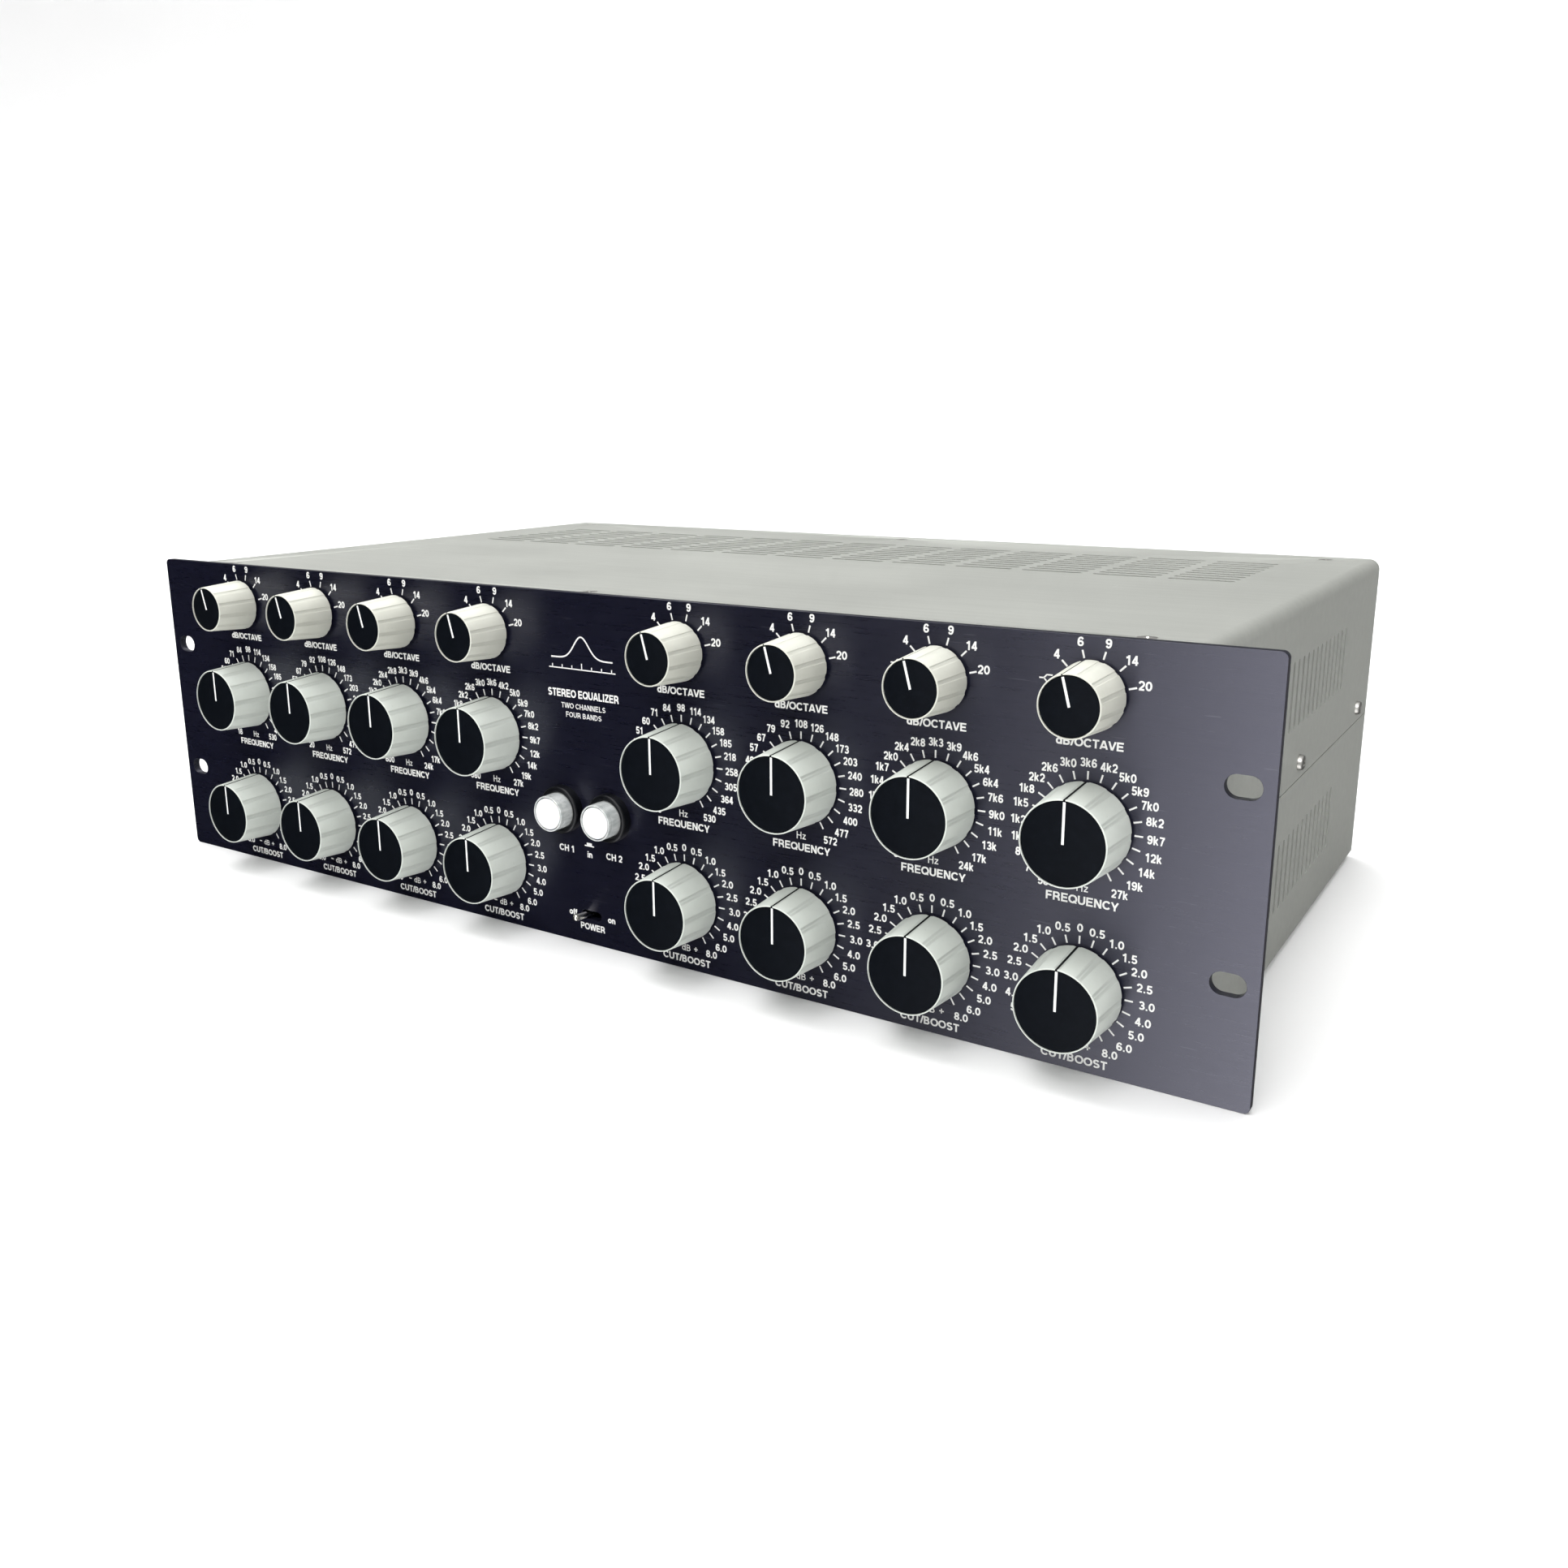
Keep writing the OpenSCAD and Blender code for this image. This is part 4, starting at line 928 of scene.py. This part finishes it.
def ribbon_grey():
    """Flat cable: conductors side by side show as fine ridges along it, with painted shade darkening the
    valleys between them.
    """
    cable = Finish("ribbon_grey", {"Specular IOR Level": 0.4})
    x = cable.node("ShaderNodeSeparateXYZ", None, {0: cable.place((1, 1, 1))})
    wave = cable.node("ShaderNodeMath", {"operation": "SINE"}, {0: x * (2 * math.pi / 0.00127)})
    ridge = wave * 0.5 + 0.5
    # The colour follows the ridges, darker in the valleys: painted shade.
    return cable.varying(base_color=cable.mix(ridge, (0.30, 0.30, 0.31), (0.48, 0.48, 0.49)),
                         roughness=0.45 + ridge * 0.1, normal=cable.bump(ridge, 0.6, 0.0004))


def fuse_glass():
    """Glass of the fuse, with a faint haze."""
    glass = Finish("fuse_glass", {"IOR": 1.5, "Transmission Weight": 0.6})
    haze = glass.noise(300, 2)
    return glass.varying(base_color=glass.mix(haze, (0.80, 0.84, 0.86), (0.94, 0.95, 0.96)),
                         roughness=0.05 + haze * 0.08)


board_mask, tape_coat, glass_coat = solder_mask(), wound_tape(), fuse_glass()
switch_plastic = moulded("switch_body", (0.020, 0.026, 0.060), (0.040, 0.050, 0.100), 0.35)
black_plastic = moulded("moulded_black", (0.010, 0.010, 0.011), (0.026, 0.026, 0.028), 0.38)
inner_finish = {
    "ch1_rotary_switches": switch_plastic, "ch2_rotary_switches": switch_plastic,
    "ch1_control_board": board_mask, "ch2_control_board": board_mask,
    "ch1_filter_board": board_mask, "ch2_filter_board": board_mask, "power_supply_board": board_mask,
    "ribbon_cables": ribbon_grey(), "transformer": tape_coat, "mains_fuse": glass_coat,
    "bypass_relays": moulded("relay_cream", (0.55, 0.50, 0.34), (0.72, 0.67, 0.48), 0.35),
    "board_standoffs": nickel, "board_screws": zinc, "transformer_clamp": zinc,
    "button_switches": black_plastic, "power_switch": black_plastic,
    "smoothing_capacitors": moulded("capacitor_blue", (0.010, 0.020, 0.080), (0.022, 0.040, 0.130), 0.22),
    "voltage_regulators": moulded("heatsink_black", (0.018, 0.018, 0.020), (0.040, 0.040, 0.044), 0.40),
    "mains_wiring": moulded("lead_brown", (0.070, 0.028, 0.014), (0.120, 0.055, 0.028), 0.35),
}
for node, coat in inner_finish.items():
    for place in frame["nodes"][node].material_slots:
        place.material = coat


# ---------------------------------------------------------------- rear connectors
# Black moulded jack sockets with nickel nuts, and a black mains inlet with plated blades, drawn all in the
# jacks' black.

jack_coat = moulded("jack_black", (0.012, 0.012, 0.013), (0.030, 0.030, 0.032), 0.30)
folded_copy("line_jacks", "line_jack_set", jack_coat, 0.2 * MM)
folded_copy("jack_nuts", "jack_nut_set", nickel, 0.25 * MM)
folded_copy("mains_inlet", "mains_inlet_socket", jack_coat, 0.3 * MM)

rear_print = Print(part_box("rear_panel")[1].y, 1)
jack_low, jack_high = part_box("jack_nuts")
jack_xs = [(jack_low.x + jack_high.x) / 2 / MM + off for off in (-65, -35, 35, 65)]
rear_ink = line_paint("rear_ink", (0.020, 0.020, 0.022), 0.5)
for x, text in zip(jack_xs, ("INPUT", "OUTPUT", "INPUT", "OUTPUT")):
    rear_print.word(text, -x, -12.5, 2.6)
for x, text in ((jack_xs[0] + 15, "CH 1"), (jack_xs[2] + 15, "CH 2")):
    rear_print.word(text, -x, -6.0, 3.2)
    rear_print.bar(-x - 21, -8.9, -x + 21, -8.9, 0.35)
inlet_x = (inlet_low.x + inlet_high.x) / 2 / MM
rear_print.word("MAINS", -inlet_x, -12.5, 3.0)
rear_print.piece("rear_captions", rear_ink, "case_satin")


# ---------------------------------------------------------------- floor and light
# A pale studio floor that curves up far from the object on every side, and broad soft lights.

def sweep_surface(radius, corner, height, ground):
    """A round floor whose rim curves up into a wall: rows run out along the floor, up a quarter circle
    and up the wall; columns go round."""
    arc = np.linspace(0, np.pi / 2, 16)
    reach = np.concatenate([[0, radius * 0.3, radius - corner], radius - corner + corner * np.sin(arc[1:]),
                            [radius]])
    rise = np.concatenate([[0, 0, 0], corner - corner * np.cos(arc[1:]), [height]])
    turn = np.arange(96) * 2 * np.pi / 96
    return np.stack([np.outer(reach, np.cos(turn)), np.outer(reach, np.sin(turn)),
                     np.repeat(rise[:, None] + ground, 96, 1)], -1)


ground = cad_box[0][2] - 0.1 * MM
sweep = grid_mesh("studio_floor", sweep_surface(4.0, 2.0, 4.5, ground), 96, False, lambda points: points)
floor = bpy.data.objects.new("studio_floor", sweep)
bpy.context.scene.collection.objects.link(floor)
pale = Finish("studio_pale", {"Specular IOR Level": 0.1})
tone = pale.mix(pale.noise(0.5), (0.91, 0.91, 0.91), (0.93, 0.93, 0.93))
sweep.materials.append(pale.varying(base_color=tone, roughness=0.8 + pale.noise(0.7) * 0.05))
floor.visible_glossy = False


def soft_light(name, place, target, size, watts, colour=(1, 1, 1)):
    data = bpy.data.lights.new(name, "AREA")
    data.shape, data.size, data.energy, data.color = "DISK", size, watts, colour
    light = bpy.data.objects.new(name, data)
    bpy.context.scene.collection.objects.link(light)
    aim = np.array(place, float) - np.array(target, float)
    aim /= np.linalg.norm(aim)
    side = np.cross((0.0, 0.0, 1.0), aim)
    side /= np.linalg.norm(side)
    matrix = np.eye(4)
    matrix[:3, 0], matrix[:3, 1], matrix[:3, 2], matrix[:3, 3] = side, np.cross(aim, side), aim, place
    light.matrix_world = Matrix(matrix)


soft_light("key", (0.75, -1.6, 1.5), (0.0, 0.0, 0.0), 1.0, 14)
soft_light("overhead", (-0.7, 0.4, 2.2), (0.0, 0.1, 0.0), 2.0, 50)


class Surroundings(Finish):
    """The room seen in reflections: dark to the left, a tall bright band ahead of the panel, dim to
    the right and behind, and brighter overhead at the back."""

    def __init__(self, name):
        world = bpy.data.worlds.new(name)
        world.use_nodes = True
        bpy.context.scene.world = world
        self.tree = world.node_tree
        direction = self.node("ShaderNodeTexCoord", out="Generated")
        x, y, z = (self.node("ShaderNodeSeparateXYZ", None, {0: direction}, out=axis) for axis in range(3))
        in_front = (0 - y).above(-0.1, 0.4)
        ahead = x.above(-0.55, 0.5)
        strength = (0.006 + in_front * ahead * ahead * (1 - x.above(-0.12, 0.45) * 0.93) * 6.2
                    + (1 - in_front) * (0.14 + z.above(0.25, 0.7) * 0.5))
        self.feed(self.tree.nodes["Background"], {"Color": (1, 1, 1, 1), "Strength": strength})


Surroundings("studio_air")
